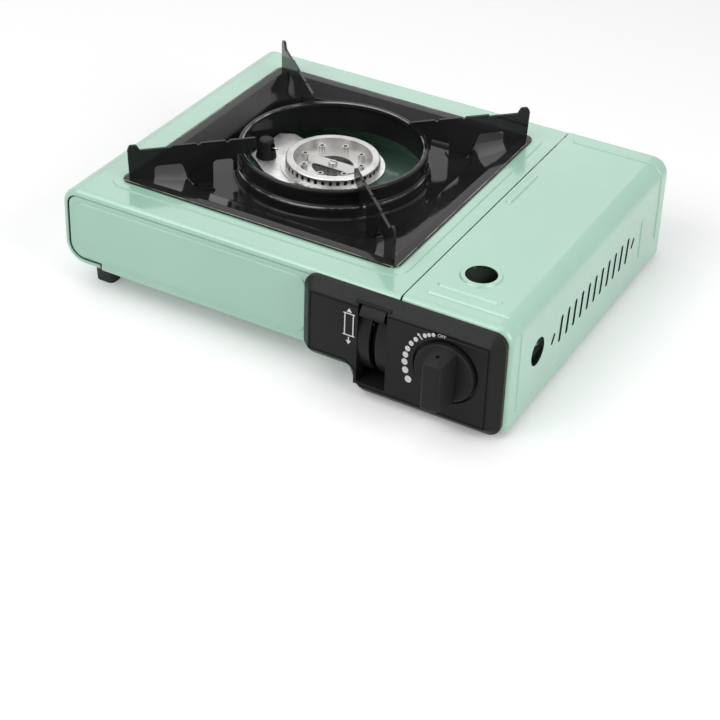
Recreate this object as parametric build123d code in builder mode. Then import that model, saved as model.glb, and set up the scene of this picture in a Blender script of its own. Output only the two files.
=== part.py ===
from build123d import *
import os
from math import cos, pi, radians, sin

# Butane cassette stove.  +Z is up, the control panel faces -Y, the cartridge bay is on the +X side.
# The origin is the bottom centre of the whole stove.  All sizes are in millimetres.
os.makedirs("parts", exist_ok=True)

# ---------------------------------------------------------------- driving dimensions
body_width = 346.0          # housing's left side to the lid's side
body_depth = 266.0          # front face to back face of the housing
deck_height = 80.0          # deck above the table
skirt_height = 20.5         # underside of the burner box above the table
bay_clearance = 3.0         # underside of the cartridge bay above the table
sheet = 1.0                 # pressed steel sheet
knob_reach = 33.0           # knob tip in front of the housing face
flush_gap = 0.3             # between faces that nearly touch
slip = 0.05                 # radial clearance of a pin or shaft in its hole

bead_rise = 0.7             # beads pressed out of the lid's side

left = -(body_width + bead_rise) / 2
right = left + body_width
front = knob_reach / 2 - body_depth / 2
back = front + body_depth

# housing
corner_top = 13.0           # radius of the housing's upper left corner
corner_foot = 17.0          # radius of its lower left corner
edge_roll = 4.0             # rolled front and back edges
wrap_lip = 4.3              # visible edge of the wrap round the front and back panels
panel_gap = 0.9             # dark line between the wrap and the panels
wrap_return = 30.0          # how far the wrap runs under the body
panel_depth = 7.0           # how deep the front and back panels are drawn
panel_recess = 0.4          # panel face behind the wrap's face
field_rise = 0.8            # raised field of the front panel
field_drop = 9.0            # field's top edge below the deck
field_margin = 5.0          # field's left edge from the panel's edge
plateau_rise = 0.8          # raised land of the deck round the tray
plateau_margin = 7.5        # land beyond the tray
seam_flange = 9.0           # fold under the deck's right edge
louvre_count = 7
louvre_pitch = 22.0

# cartridge lid and its hinge
lid_width = 78.1            # cartridge lid, seam to side
lid_rise = 1.0              # lid top above the deck
lid_skirt = 4.4             # lid's lower edge above the table
lid_corner = 12.0           # radius of the lid's upper right corner
lid_roll = 5.0              # rolled front and back edges of the lid
lid_lip = 7.0               # lid's folded front and back lips
seam_gap = 1.6              # gap that the lid's edge dips through as it opens
hinge_inset = 6.2           # hinge axis from the lid's left edge
hinge_drop = 4.0            # hinge axis below the lid's top
hinge_pin_radius = 1.5
hinge_ear_radius = 2.8
hinge_ear_width = 13.0
lid_hole_radius = 10.8
lid_hole_y = front + 49.3
lid_hole_right = 46.2       # hole axis from the lid's side
lid_collar = 3.6            # pressed collar round the lid hole
bead_radius = 2.6
top_bead_rise = 1.2         # beads and collar pressed up in the lid's top
bead_bevel = 1.0            # sloping sides of the beads that run over the corner
bead_root = 0.4             # how deep those beads start in the sheet
front_bead_y = front + 15.5
back_bead_y = back - 14.0
slot_count = 11
slot_pitch = 11.4
slot_width = 3.8
slot_lean = 6.0             # degrees that the slots lean towards the back
mark_length = 8.5           # short slanted slot at each end of the row
mark_reach = 12.0
slot_low = 29.0
slot_high = 49.5
slot_start = front + 80.0
side_hole_radius = 10.0
side_hole_y = front + 43.0
side_hole_z = 42.5

# cartridge bay
bay_reach = 112.65          # bay pan's left wall from the lid's side
bay_wall = 12.0             # height of the bay pan's right wall
lid_side_gap = 0.8          # bay pan to the inside of the lid
cartridge_radius = 34.0
cartridge_length = 185.0
cartridge_z = 42.0
bay_axis = 39.2             # cartridge and knob axis from the lid's side
bulkhead_inset = 6.0        # bulkheads behind the housing faces
bulkhead_drop = 4.0         # bulkhead top below the deck
ear_gap = 0.5               # hinge ear to bulkhead
guide_inset = 75.65         # cartridge guide wall's left face from the lid's side
guide_height = 60.0
rail_spread = 24.0          # half distance between the cradle's rails
rail_width = 6.0

# control panel and knob
panel_width = 145.3
panel_right_gap = 2.0
panel_top = 78.6
panel_bottom = 2.0
panel_reach = 10.4          # panel face in front of the housing face
panel_wall = 2.2
panel_corner = 9.0
panel_step = 112.15         # where the panel deepens towards the table, from the lid's side
panel_step_slope = 6.0
panel_step_z = 18.3
panel_bevel = 6.8           # sloping frame round the face
panel_border = 8.2          # groove round the face, from the panel's edge
groove_width = 0.7
knob_land = 0.8             # raised land round the knob
knob_z = 44.8
knob_radius = 21.0
knob_disc = 5.0
knob_gap = 0.8
knob_recess = 1.4
grip_foot = 17.6
spindle_radius = 3.0
boss_radius = 3.6
screw_radius = 1.4
screw_head = 3.0

igniter_radius = 4.0
igniter_length = 15.0
igniter_inset = 75.15       # igniter's left end from the lid's side
igniter_y = front - 2.0
plunger_radius = 2.5
plunger_travel = 5.0

# lock lever and cartridge carriage
lever_y = front + 24.0
lever_z = 43.0
drum_radius = 34.0          # convex floor behind the lever's tab
drum_wall = 2.0
recess_inset = 103.65       # lever recess's left side from the lid's side
recess_width = 21.3
recess_low = 12.5
recess_high = 73.5
lever_web = 3.0
lever_slot = 4.6
lever_turn = 76.0           # unlock to lock, degrees
tab_width = 17.5
tab_inner = 34.6
tab_outer = 43.0
tab_angle = 12.0            # degrees that the tab spans
hub_radius = 6.0
lever_pin_radius = 2.5
crank_radius = 9.0
crank_pin_radius = 2.0
rod_gap = 3.0               # hub to push rod
rod_thickness = 2.5
rod_low = 46.0
rod_high = 58.0
yoke_play = 0.4
pusher_width = 62.0
pusher_thickness = 3.0

# gas train
regulator_width = 34.0
regulator_depth = 26.0
regulator_low = 26.0
regulator_high = 62.0
seat_radius = 14.0
seat_bore = 6.5
seat_length = 7.0
seal_section = 1.5
pipe_radius = 2.5
pipe_y = front + 30.0
pipe_z = 34.0               # also the height of the mixing tube

# drip tray and burner share one vertical axis
burner_side = 140.15        # burner's axis from the housing's left side
burner_setback = 133.1      # and from its front face
burner_x = left + burner_side
burner_y = front + burner_setback
tray_width = 219.0
tray_depth = 214.0
tray_corner = 7.0
tray_sheet = 1.0
tray_lift_gap = 0.1
rim_height = 1.2            # rolled rim of the tray
rim_width = 8.0
margin_width = 17.0         # sloping border inside the rim
margin_drop = 4.5
well_wall = 3.0             # steep step from the border to the floor
well_depth = 11.0           # tray floor below the rim's top
well_corner = 30.0
deck_opening_gap = 1.5
collar_radius = 68.0
collar_bore = 64.0
collar_height = 22.0        # collar top above the tray floor
burner_radius = 34.0
burner_top = 82.7
cup_radius = 28.5
cup_depth = 7.5
cup_floor = 1.5
cup_hole = 15.0
flange_radius = 37.5
flange_thickness = 1.6
head_height = 6.5
teeth_count = 40
tooth_gap = 2.4
tooth_depth = 2.2
port_count = 8
port_circle = 22.0
port_radius = 2.3
port_height = 5.5
port_turn = 6.0
bowl_height = 16.0
neck_radius = 12.0
mixer_radius = 9.0
mixer_wall = 1.5
mixer_length = 74.0
mixer_turn = -60.0          # mixing tube's direction, degrees from +X
casting_reach = 60.0        # burner casting's arm towards the left
casting_thickness = 3.5
dome_x = burner_x - 48.0
dome_y = burner_y - 13.0
dome_radius = 7.5
dome_height = 14.5
dome_wall = 1.2
insulator_radius = 2.4
electrode_radius = 0.7

# pan supports: upright plates along the tray's diagonals, given by distance from the burner's axis
support_thickness = 2.0
support_top = 104.6
support_inner = 56.0
support_bar = 90.0          # underside of the top bar
horn_reach = 144.0
horn_top = 107.6
horn_radius = 3.8
nick_depth = 1.6
nick_places = (76.5, 97.0, 117.5)
inner_leg = (69.0, 72.5)
middle_leg = (87.0, 106.0)
outer_leg = (128.5, 146.0)
rivet_radius = 2.2
rivet_reach = 93.0

# feet
foot_length = 18.0
foot_width = 14.0
foot_inset = 21.0
foot_setback = 22.0         # tall feet behind the front face and before the back face
foot_bore = 7.0
short_foot_radius = 7.0

# ---------------------------------------------------------------- sizes worked out from those above
lid_left = right - lid_width
seam_x = lid_left - seam_gap
lid_top = deck_height + lid_rise
hinge_x = lid_left + hinge_inset
hinge_z = lid_top - hinge_drop
hinge_sweep = (hinge_inset**2 + hinge_drop**2) ** 0.5
bulkhead_top = deck_height - bulkhead_drop
bay_right = right - sheet - lid_side_gap
bay_floor = bay_clearance + sheet
bay_x = right - bay_axis
bay_left = right - bay_reach
guide_left = right - guide_inset
panel_step_x = right - panel_step
igniter_left = right - igniter_inset
recess_left = right - recess_inset
base_top = skirt_height + 2 * sheet
deck_land = deck_height + plateau_rise
tray_seat = deck_land + tray_lift_gap
rim_top = tray_seat + rim_height
tray_floor = rim_top - well_depth
collar_top = tray_floor + collar_height
panel_face = front - panel_reach
panel_left = right - panel_right_gap - panel_width
panel_right = right - panel_right_gap
knob_back = panel_face + knob_recess - knob_gap
recess_right = recess_left + recess_width
recess_back = front + 11.5
lever_x = recess_left + recess_width / 2
hub_right = lever_x + lever_web / 2 + rod_gap
rod_left = hub_right + 1.5
burner_axis = Axis((burner_x, burner_y, 0), (0, 0, 1))
burner_floor = burner_top - cup_depth
bay_front = front + bulkhead_inset
bay_back = back - bulkhead_inset
regulator_front = bay_front + sheet
regulator_back = regulator_front + regulator_depth
seat_face = regulator_back + seat_length
burner_flange = burner_top - head_height

front_plane = Plane.XZ.offset(-front)
panel_back = front - flush_gap


def facing_front(y):
    """Plane parallel to the front face at the given y; extruding from it runs towards -Y."""
    return Plane.XZ.offset(-y)


def slab(x_span, y_span, z_span, mode=Mode.ADD):
    """Rectangular block between the given pairs of faces."""
    with BuildSketch(Plane.XY.offset(z_span[0])) as outline:
        with Locations(((x_span[0] + x_span[1]) / 2, (y_span[0] + y_span[1]) / 2)):
            Rectangle(x_span[1] - x_span[0], y_span[1] - y_span[0])
    extrude(outline.sketch, amount=z_span[1] - z_span[0], mode=mode)


def disc(centre, radius, z_span, mode=Mode.ADD):
    """Upright round block on the given centre."""
    with BuildSketch(Plane.XY.offset(z_span[0])) as outline:
        with Locations(centre):
            Circle(radius)
    extrude(outline.sketch, amount=z_span[1] - z_span[0], mode=mode)


def rod_along_y(x, z, radius, y_span, mode=Mode.ADD):
    """Round block along Y."""
    with BuildSketch(facing_front(y_span[1])) as outline:
        with Locations((x, z)):
            Circle(radius)
    extrude(outline.sketch, amount=y_span[1] - y_span[0], mode=mode)


def rod_along_x(y, z, radius, x_span, mode=Mode.ADD):
    """Round block along X."""
    with BuildSketch(Plane.YZ.offset(x_span[0])) as outline:
        with Locations((y, z)):
            Circle(radius)
    extrude(outline.sketch, amount=x_span[1] - x_span[0], mode=mode)


def housing_section(plane, inset, x_end):
    """Burner-box section with rounded left corners, pulled in by inset and cut off at x_end."""
    with BuildSketch(plane, mode=Mode.PRIVATE) as section:
        with BuildLine():
            Polyline(
                (x_end, skirt_height + inset),
                (x_end, deck_height - inset),
                (left + inset, deck_height - inset),
                (left + inset, skirt_height + inset),
                close=True,
            )
        make_face()
        fillet(section.vertices().group_by(Axis.X)[0].sort_by(Axis.Y)[-1], corner_top - inset)
        fillet(section.vertices().group_by(Axis.X)[0].sort_by(Axis.Y)[0], corner_foot - inset)
    return section.sketch


# ---------------------------------------------------------------- housing
with BuildPart() as top_cover:
    extrude(housing_section(front_plane, 0, seam_x), amount=-body_depth)
    front_edges = top_cover.faces().sort_by(Axis.Y)[0].edges()
    back_edges = top_cover.faces().sort_by(Axis.Y)[-1].edges()
    fillet((front_edges + back_edges).filter_by(lambda edge: edge.center().X < seam_x - 1), edge_roll)
    offset(amount=-sheet, openings=top_cover.faces().sort_by(Axis.X)[-1])
    extrude(housing_section(facing_front(front - 1), wrap_lip, seam_x + 5), amount=-1 - edge_roll,
            mode=Mode.SUBTRACT)
    extrude(housing_section(facing_front(back + 1), wrap_lip, seam_x + 5), amount=1 + edge_roll,
            mode=Mode.SUBTRACT)
    slab((left + wrap_return, right), (front - 1, back + 1), (skirt_height - 1, skirt_height + 2 * wrap_lip),
         mode=Mode.SUBTRACT)
    for place in ((left + foot_inset, front + foot_setback), (left + foot_inset, back - foot_setback)):
        disc(place, screw_radius, (skirt_height - 1, skirt_height + 2 * sheet), mode=Mode.SUBTRACT)
    slab((seam_x - sheet, seam_x), (recess_back + 1.5, back - wrap_lip),
         (deck_height - seam_flange, deck_height - sheet / 2))
    with BuildSketch(Plane.XY.offset(deck_height - sheet / 2)):
        with Locations((burner_x, burner_y)):
            RectangleRounded(tray_width + 2 * plateau_margin, tray_depth + 2 * plateau_margin,
                             tray_corner + plateau_margin)
    extrude(amount=sheet / 2 + plateau_rise, taper=30)
    with BuildSketch(Plane.XY.offset(deck_height - 2 * sheet)):
        with Locations((burner_x, burner_y)):
            RectangleRounded(tray_width + 2 * plateau_margin - 3 * sheet,
                             tray_depth + 2 * plateau_margin - 3 * sheet, tray_corner + plateau_margin)
    extrude(amount=sheet + plateau_rise, mode=Mode.SUBTRACT)
    with BuildSketch(Plane.XY.offset(deck_height - 2 * sheet)):
        with Locations((burner_x, burner_y)):
            RectangleRounded(tray_width - 2 * rim_width + 2 * deck_opening_gap,
                             tray_depth - 2 * rim_width + 2 * deck_opening_gap, tray_corner)
    extrude(amount=4 * sheet, mode=Mode.SUBTRACT)
top_cover.part.label = "top_cover"
export_step(top_cover.part, "parts/top_cover.step")


def panel_outline(plane, inset, x_end):
    """Outline of the front and back panels: inside the wrap, then down to the skirt beside it."""
    edge = wrap_lip + panel_gap + inset
    beside_wrap = left + wrap_return + panel_gap + inset
    with BuildSketch(plane, mode=Mode.PRIVATE) as outline:
        with BuildLine():
            Polyline(
                (x_end, skirt_height + inset),
                (x_end, deck_height - edge),
                (left + edge, deck_height - edge),
                (left + edge, skirt_height + edge),
                (beside_wrap, skirt_height + edge),
                (beside_wrap, skirt_height + inset),
                close=True,
            )
        make_face()
        fillet(outline.vertices().group_by(Axis.X)[0].sort_by(Axis.Y)[-1], corner_top - edge)
        fillet(outline.vertices().group_by(Axis.X)[0].sort_by(Axis.Y)[0], corner_foot - edge)
    return outline.sketch


front_face_y = front + panel_recess
left_boss_places = ((panel_left + 12, 32.0), (panel_left + 12, 66.0))
with BuildPart() as front_panel:
    extrude(panel_outline(facing_front(front_face_y), 0, bay_left - sheet), amount=-panel_depth)
    rim_edges = front_panel.faces().sort_by(Axis.Y)[0].edges()
    fillet(rim_edges.filter_by(lambda edge: edge.center().X < bay_left - 2 * sheet), 1.5 * sheet)
    extrude(panel_outline(facing_front(front_face_y + 1.5 * sheet), sheet, bay_left), amount=-panel_depth,
            mode=Mode.SUBTRACT)
    field_left = left + wrap_lip + panel_gap + field_margin
    field_right = panel_left - 1.5
    field_low = skirt_height + wrap_lip + 3 * sheet
    field_high = deck_height - field_drop
    with BuildSketch(facing_front(front_face_y)):
        with Locations(((field_left + field_right) / 2, (field_low + field_high) / 2)):
            RectangleRounded(field_right - field_left, field_high - field_low, 7)
    extrude(amount=field_rise, taper=30)
    with BuildSketch(facing_front(front_face_y + 2 * sheet)):
        with Locations(((field_left + field_right) / 2, (field_low + field_high) / 2)):
            RectangleRounded(field_right - field_left - 3 * sheet, field_high - field_low - 3 * sheet, 6)
    extrude(amount=sheet + field_rise, mode=Mode.SUBTRACT)
    for place in left_boss_places:
        rod_along_y(place[0], place[1], screw_radius, (front, front + panel_depth), mode=Mode.SUBTRACT)
front_panel.part.label = "front_panel"
export_step(front_panel.part, "parts/front_panel.step")

back_face_y = back - panel_recess
with BuildPart() as back_panel:
    extrude(panel_outline(facing_front(back_face_y), 0, bay_left - sheet), amount=panel_depth)
    rim_edges = back_panel.faces().sort_by(Axis.Y)[-1].edges()
    fillet(rim_edges.filter_by(lambda edge: edge.center().X < bay_left - 2 * sheet), 1.5 * sheet)
    extrude(panel_outline(facing_front(back_face_y - 1.5 * sheet), sheet, bay_left), amount=panel_depth,
            mode=Mode.SUBTRACT)
    louvre_z = (skirt_height + deck_height) / 2
    with BuildSketch(facing_front(back + 1)):
        with Locations((burner_x, louvre_z)):
            with GridLocations(louvre_pitch, 12, louvre_count, 2):
                SlotOverall(louvre_pitch - 6, 3)
    extrude(amount=panel_depth, mode=Mode.SUBTRACT)
back_panel.part.label = "back_panel"
export_step(back_panel.part, "parts/back_panel.step")

# ---------------------------------------------------------------- chassis under the burner and the bay
base_left = left + wrap_lip + panel_gap + 2 * sheet
with BuildPart() as base_plate:
    slab((base_left + corner_foot, bay_left - sheet), (front + panel_depth + 1, back - panel_depth - 1),
         (skirt_height + sheet, base_top))
    with BuildSketch(Plane.XY.offset(base_top)):
        with Locations((burner_x, burner_y)):
            RectangleRounded(150, 150, 20)
            RectangleRounded(142, 142, 17, mode=Mode.SUBTRACT)
    extrude(amount=1.5)
    with BuildSketch(Plane.XY.offset(skirt_height)):
        with Locations((burner_x, burner_y)):
            with GridLocations(0, 14, 1, 5):
                SlotOverall(60, 5)
    extrude(amount=3 * sheet, mode=Mode.SUBTRACT)
base_plate.part.label = "base_plate"
export_step(base_plate.part, "parts/base_plate.step")

with BuildPart() as bay_pan:
    slab((bay_left, bay_right), (bay_front, bay_back), (bay_clearance, bay_floor))
    slab((bay_left, bay_left + sheet), (bay_front, bay_back), (bay_clearance, base_top + sheet))
    slab((bay_left - 10, bay_left), (bay_front + panel_depth, bay_back - panel_depth),
         (base_top, base_top + sheet))
    slab((bay_right - sheet, bay_right), (bay_front, bay_back), (bay_clearance, bay_clearance + bay_wall))
    fillet(bay_pan.edges().filter_by(Axis.Y).group_by(Axis.Z)[0].sort_by(Axis.X)[-1], 0.8 * sheet)
    with BuildSketch(Plane.XY.offset(bay_clearance - 1)):
        with Locations((bay_x, (front + back) / 2)):
            with GridLocations(0, 30, 1, 5):
                SlotOverall(30, 6)
    extrude(amount=3 * sheet, mode=Mode.SUBTRACT)
bay_pan.part.label = "bay_pan"
export_step(bay_pan.part, "parts/bay_pan.step")


def bulkhead_sheet(y_start, window):
    """Upright end wall of the bay with a lug for the lid's hinge pin."""
    inner_left = bay_left + sheet
    inner_right = bay_right - sheet
    lug_left = hinge_x + 0.5
    with BuildSketch(facing_front(y_start + sheet)) as outline:
        with BuildLine():
            Polyline(
                (inner_left, bay_floor),
                (inner_left, hinge_z - hinge_sweep - flush_gap),
                (lug_left, hinge_z - hinge_sweep - flush_gap),
                (lug_left, bulkhead_top),
                (inner_right, bulkhead_top),
                (inner_right, bay_floor),
                close=True,
            )
        make_face()
        fillet(outline.vertices().sort_by_distance((inner_right, bulkhead_top))[0], lid_corner - 3 * sheet)
        with Locations((hinge_x, hinge_z)):
            Circle(hinge_ear_radius)
            Circle(hinge_pin_radius, mode=Mode.SUBTRACT)
        if window:
            with Locations((lever_x, (recess_low + recess_high) / 2)):
                Rectangle(recess_width + 2 * panel_wall + 1, recess_high - recess_low + 2 * panel_wall + 1,
                          mode=Mode.SUBTRACT)
    extrude(outline.sketch, amount=sheet)


panel_boss_places = (
    (bay_x - 35.0, 14.0),
    (bay_x - 32.0, 66.0),
    (bay_x + 25.0, 64.0),
    (bay_x + 26.0, 14.0),
)
with BuildPart() as front_bulkhead:
    bulkhead_sheet(bay_front, True)
    with BuildSketch(facing_front(bay_front + 2 * sheet)):
        with Locations((bay_x, knob_z)):
            Circle(spindle_radius + 4)
        with Locations(*panel_boss_places):
            Circle(screw_radius + slip)
        with Locations((guide_left + 5, knob_z - 14)):
            Circle(3.5)
        with Locations((bay_x - 12, cartridge_z + 14), (bay_x + 12, cartridge_z + 14)):
            Circle(screw_radius + slip)
    extrude(amount=3 * sheet, mode=Mode.SUBTRACT)
front_bulkhead.part.label = "front_bulkhead"
export_step(front_bulkhead.part, "parts/front_bulkhead.step")

with BuildPart() as rear_bulkhead:
    bulkhead_sheet(bay_back - sheet, False)
    with BuildSketch(facing_front(bay_back + sheet)):
        with Locations((bay_x, cartridge_z)):
            with GridLocations(10, 0, 5, 1):
                SlotOverall(26, 3, rotation=90)
    extrude(amount=3 * sheet, mode=Mode.SUBTRACT)
rear_bulkhead.part.label = "rear_bulkhead"
export_step(rear_bulkhead.part, "parts/rear_bulkhead.step")

shield_height = deck_height - 3 * sheet
with BuildPart() as heat_shield:
    slab((bay_left - 14, bay_left), (front + 12, back - 12), (base_top + sheet, base_top + 2 * sheet))
    slab((bay_left - sheet, bay_left), (front + 12, back - 12), (base_top + sheet, shield_height - 14))
    rod_along_x(pipe_y, pipe_z, pipe_radius + 1, (bay_left - 2, bay_left + 1), mode=Mode.SUBTRACT)
    with BuildSketch(Plane.YZ.offset(bay_left - 2 * sheet)):
        with Locations(((front + back) / 2 + 20, 56)):
            with GridLocations(28, 0, 6, 1):
                SlotOverall(20, 4)
    extrude(amount=3 * sheet, mode=Mode.SUBTRACT)
heat_shield.part.label = "heat_shield"
export_step(heat_shield.part, "parts/heat_shield.step")

# ---------------------------------------------------------------- feet
foot_places = ((left + foot_inset, front + foot_setback), (left + foot_inset, back - foot_setback))
with BuildPart() as tall_feet:
    for place in foot_places:
        with BuildSketch() as sole:
            with Locations(place):
                RectangleRounded(foot_length - 3, foot_width - 2, 4)
        with BuildSketch(Plane.XY.offset(skirt_height + 3)) as crown:
            with Locations(place):
                RectangleRounded(foot_length, foot_width, 5)
        loft([sole.sketch.faces()[0], crown.sketch.faces()[0]])
        disc(place, screw_head + 0.4, (0, foot_bore), mode=Mode.SUBTRACT)
        disc(place, screw_radius, (0, skirt_height + 5), mode=Mode.SUBTRACT)
    extrude(housing_section(front_plane, 0, seam_x), amount=-body_depth, mode=Mode.SUBTRACT)
tall_feet.part.label = "tall_feet"
export_step(tall_feet.part, "parts/tall_feet.step")

with BuildPart() as foot_screws:
    for place in foot_places:
        disc(place, screw_head, (foot_bore - 2, foot_bore))
        disc(place, screw_radius, (foot_bore, base_top))
foot_screws.part.label = "foot_screws"
export_step(foot_screws.part, "parts/foot_screws.step")

short_places = ((bay_left + 14, front + 20), (bay_left + 14, back - 20),
                (bay_right - 14, front + 20), (bay_right - 14, back - 20))
with BuildPart() as short_feet:
    for place in short_places:
        disc(place, short_foot_radius, (0, bay_clearance))
        disc(place, screw_radius + 0.6, (bay_clearance / 2, bay_clearance), mode=Mode.SUBTRACT)
short_feet.part.label = "short_feet"
export_step(short_feet.part, "parts/short_feet.step")

# ---------------------------------------------------------------- cartridge lid
def lid_section(plane, inset, reach):
    """Lid section: top and right side, with the rounded corner between them."""
    with BuildSketch(plane, mode=Mode.PRIVATE) as section:
        with BuildLine():
            Polyline(
                (lid_left - reach, lid_skirt - reach),
                (lid_left - reach, lid_top - inset),
                (right - inset, lid_top - inset),
                (right - inset, lid_skirt - reach),
                close=True,
            )
        make_face()
        fillet(section.vertices().group_by(Axis.X)[-1].sort_by(Axis.Y)[-1], lid_corner - inset)
    return section.sketch


def lid_bead(y_middle, x_start, z_end):
    """Bead pressed across the lid's top and down its side, with one bend round the corner."""
    with BuildSketch(facing_front(y_middle - bead_radius)) as outline:
        with BuildLine():
            Polyline(
                (x_start, lid_top - bead_root),
                (x_start + bead_root + top_bead_rise, lid_top + top_bead_rise),
                (right + bead_rise, lid_top + top_bead_rise),
                (right + bead_rise, z_end + bead_root + bead_rise),
                (right - bead_root, z_end),
                (right - bead_root, lid_top - bead_root),
                close=True,
            )
        make_face()
        fillet(outline.vertices().sort_by_distance((right + bead_rise, lid_top + top_bead_rise))[0],
               lid_corner + bead_rise)
        fillet(outline.vertices().sort_by_distance((right - bead_root, lid_top - bead_root))[0],
               lid_corner - bead_root)
    ridge = extrude(outline.sketch, amount=-2 * bead_radius)
    sides = ridge.faces().sort_by(Axis.Y)[0].edges() + ridge.faces().sort_by(Axis.Y)[-1].edges()
    bent = sides.filter_by(GeomType.CIRCLE).filter_by(lambda edge: edge.radius > lid_corner)
    proud = sides.filter_by(lambda edge: edge.center().Z > lid_top or edge.center().X > right)
    return chamfer(proud + bent, bead_bevel)


front_bead = lid_bead(front_bead_y, hinge_x + 4, 12.0)
back_bead = lid_bead(back_bead_y, hinge_x + 1, 20.0)

with BuildPart() as lid:
    extrude(lid_section(front_plane, 0, 0), amount=-body_depth)
    front_edges = lid.faces().sort_by(Axis.Y)[0].edges()
    back_edges = lid.faces().sort_by(Axis.Y)[-1].edges()
    rolled = (front_edges + back_edges).filter_by(
        lambda edge: edge.center().X > lid_left + 1 and edge.center().Z > lid_skirt + 1)
    fillet(rolled, lid_roll)
    offset(amount=-sheet,
           openings=[lid.faces().sort_by(Axis.X)[0], lid.faces().sort_by(Axis.Z)[0]])
    extrude(lid_section(facing_front(front - 1), lid_lip, 5), amount=-1 - lid_roll, mode=Mode.SUBTRACT)
    extrude(lid_section(facing_front(back + 1), lid_lip, 5), amount=1 + lid_roll, mode=Mode.SUBTRACT)
    # beads pressed up in the top
    add([front_bead, back_bead])
    bead_x = hinge_x + 6
    with BuildSketch(Plane.XY.offset(lid_top)):
        with Locations(((bead_x + bay_x + 19) / 2, front + 26.5)):
            SlotOverall(bay_x + 19 - bead_x, 2 * bead_radius)
        with Locations((lid_left + 6, front + 166)):
            SlotOverall(48, 2 * bead_radius, rotation=90)
    extrude(amount=top_bead_rise, taper=40)
    # bead pressed out of the side
    with BuildSketch(Plane.YZ.offset(right)):
        with Locations((back - 45, 36)):
            SlotOverall(32, 2 * bead_radius, rotation=90)
    extrude(amount=bead_rise, taper=40)
    # collar round the hole above the regulator
    with BuildSketch(Plane.XY.offset(lid_top)):
        with Locations((right - lid_hole_right, lid_hole_y)):
            Circle(lid_hole_radius + lid_collar)
    extrude(amount=top_bead_rise, taper=40)
    disc((right - lid_hole_right, lid_hole_y), lid_hole_radius, (lid_top - 2 * sheet, lid_top + 2 * sheet),
         mode=Mode.SUBTRACT)
    # vents in the side
    slot_centre = slot_start + slot_pitch * (slot_count - 1) / 2
    slot_middle = (slot_low + slot_high) / 2
    with BuildSketch(Plane.YZ.offset(right + 1)):
        with Locations((slot_centre, slot_middle)):
            with GridLocations(slot_pitch, 0, slot_count, 1):
                SlotOverall(slot_high - slot_low, slot_width, rotation=90 - slot_lean)
        with Locations((slot_start - mark_reach, slot_middle - slot_lean / 4),
                       (slot_start + slot_pitch * (slot_count - 1) + mark_reach - 2, slot_middle + slot_lean / 4)):
            SlotOverall(mark_length, slot_width - 0.4, rotation=60)
        with Locations((side_hole_y, side_hole_z)):
            Circle(side_hole_radius)
    extrude(amount=-3 * sheet, mode=Mode.SUBTRACT)
lid.part.label = "lid"
export_step(lid.part, "parts/lid.step")

ear_starts = (bay_front - ear_gap - sheet, bay_back + ear_gap)
with BuildPart() as lid_hinge_ears:
    for y_start in ear_starts:
        with BuildSketch(facing_front(y_start + sheet)):
            with Locations((hinge_x, hinge_z)):
                Circle(hinge_ear_radius)
            with BuildLine():
                Polyline(
                    (hinge_x - hinge_ear_radius, hinge_z),
                    (hinge_x - hinge_ear_radius, lid_top - sheet - slip),
                    (hinge_x + hinge_ear_width, lid_top - sheet - slip),
                    (hinge_x + hinge_ear_radius, hinge_z),
                    close=True,
                )
            make_face()
            with Locations((hinge_x, hinge_z)):
                Circle(hinge_pin_radius + slip, mode=Mode.SUBTRACT)
        extrude(amount=sheet)
lid_hinge_ears.part.label = "lid_hinge_ears"
export_step(lid_hinge_ears.part, "parts/lid_hinge_ears.step")

with BuildPart() as hinge_pins:
    tip = ear_gap + sheet + 0.3
    rod_along_y(hinge_x, hinge_z, hinge_pin_radius, (bay_front - tip, bay_front + 2 * sheet))
    rod_along_y(hinge_x, hinge_z, hinge_ear_radius - 0.4, (bay_front + sheet, bay_front + 2 * sheet))
    rod_along_y(hinge_x, hinge_z, hinge_pin_radius, (bay_back - 2 * sheet, bay_back + tip))
    rod_along_y(hinge_x, hinge_z, hinge_ear_radius - 0.4, (bay_back - 2 * sheet, bay_back - sheet))
hinge_pins.part.label = "hinge_pins"
export_step(hinge_pins.part, "parts/hinge_pins.step")

# ---------------------------------------------------------------- control panel
land_left = recess_right + 2.2


def panel_section(plane, inset):
    """Outline of the control panel, deeper on the right where it covers the cartridge bay."""
    with BuildSketch(plane, mode=Mode.PRIVATE) as section:
        with BuildLine():
            Polyline(
                (panel_left, panel_top),
                (panel_right, panel_top),
                (panel_right, panel_bottom),
                (panel_step_x + panel_step_slope, panel_bottom),
                (panel_step_x, panel_step_z),
                (panel_left, panel_step_z),
                close=True,
            )
        make_face()
        fillet(section.vertices().sort_by_distance((panel_left, panel_top))[0], panel_corner)
        fillet(section.vertices().sort_by_distance((panel_right, panel_top))[0], panel_corner)
        fillet(section.vertices().sort_by_distance((panel_right, panel_bottom))[0], panel_corner)
        fillet(section.vertices().sort_by_distance((panel_left, panel_step_z))[0], panel_corner)
        fillet(section.vertices().sort_by_distance((panel_step_x, panel_step_z))[0], panel_corner / 2)
        fillet(section.vertices().sort_by_distance((panel_step_x + panel_step_slope, panel_bottom))[0],
               panel_corner)
        if inset:
            offset(amount=-inset)
    return section.sketch


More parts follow.
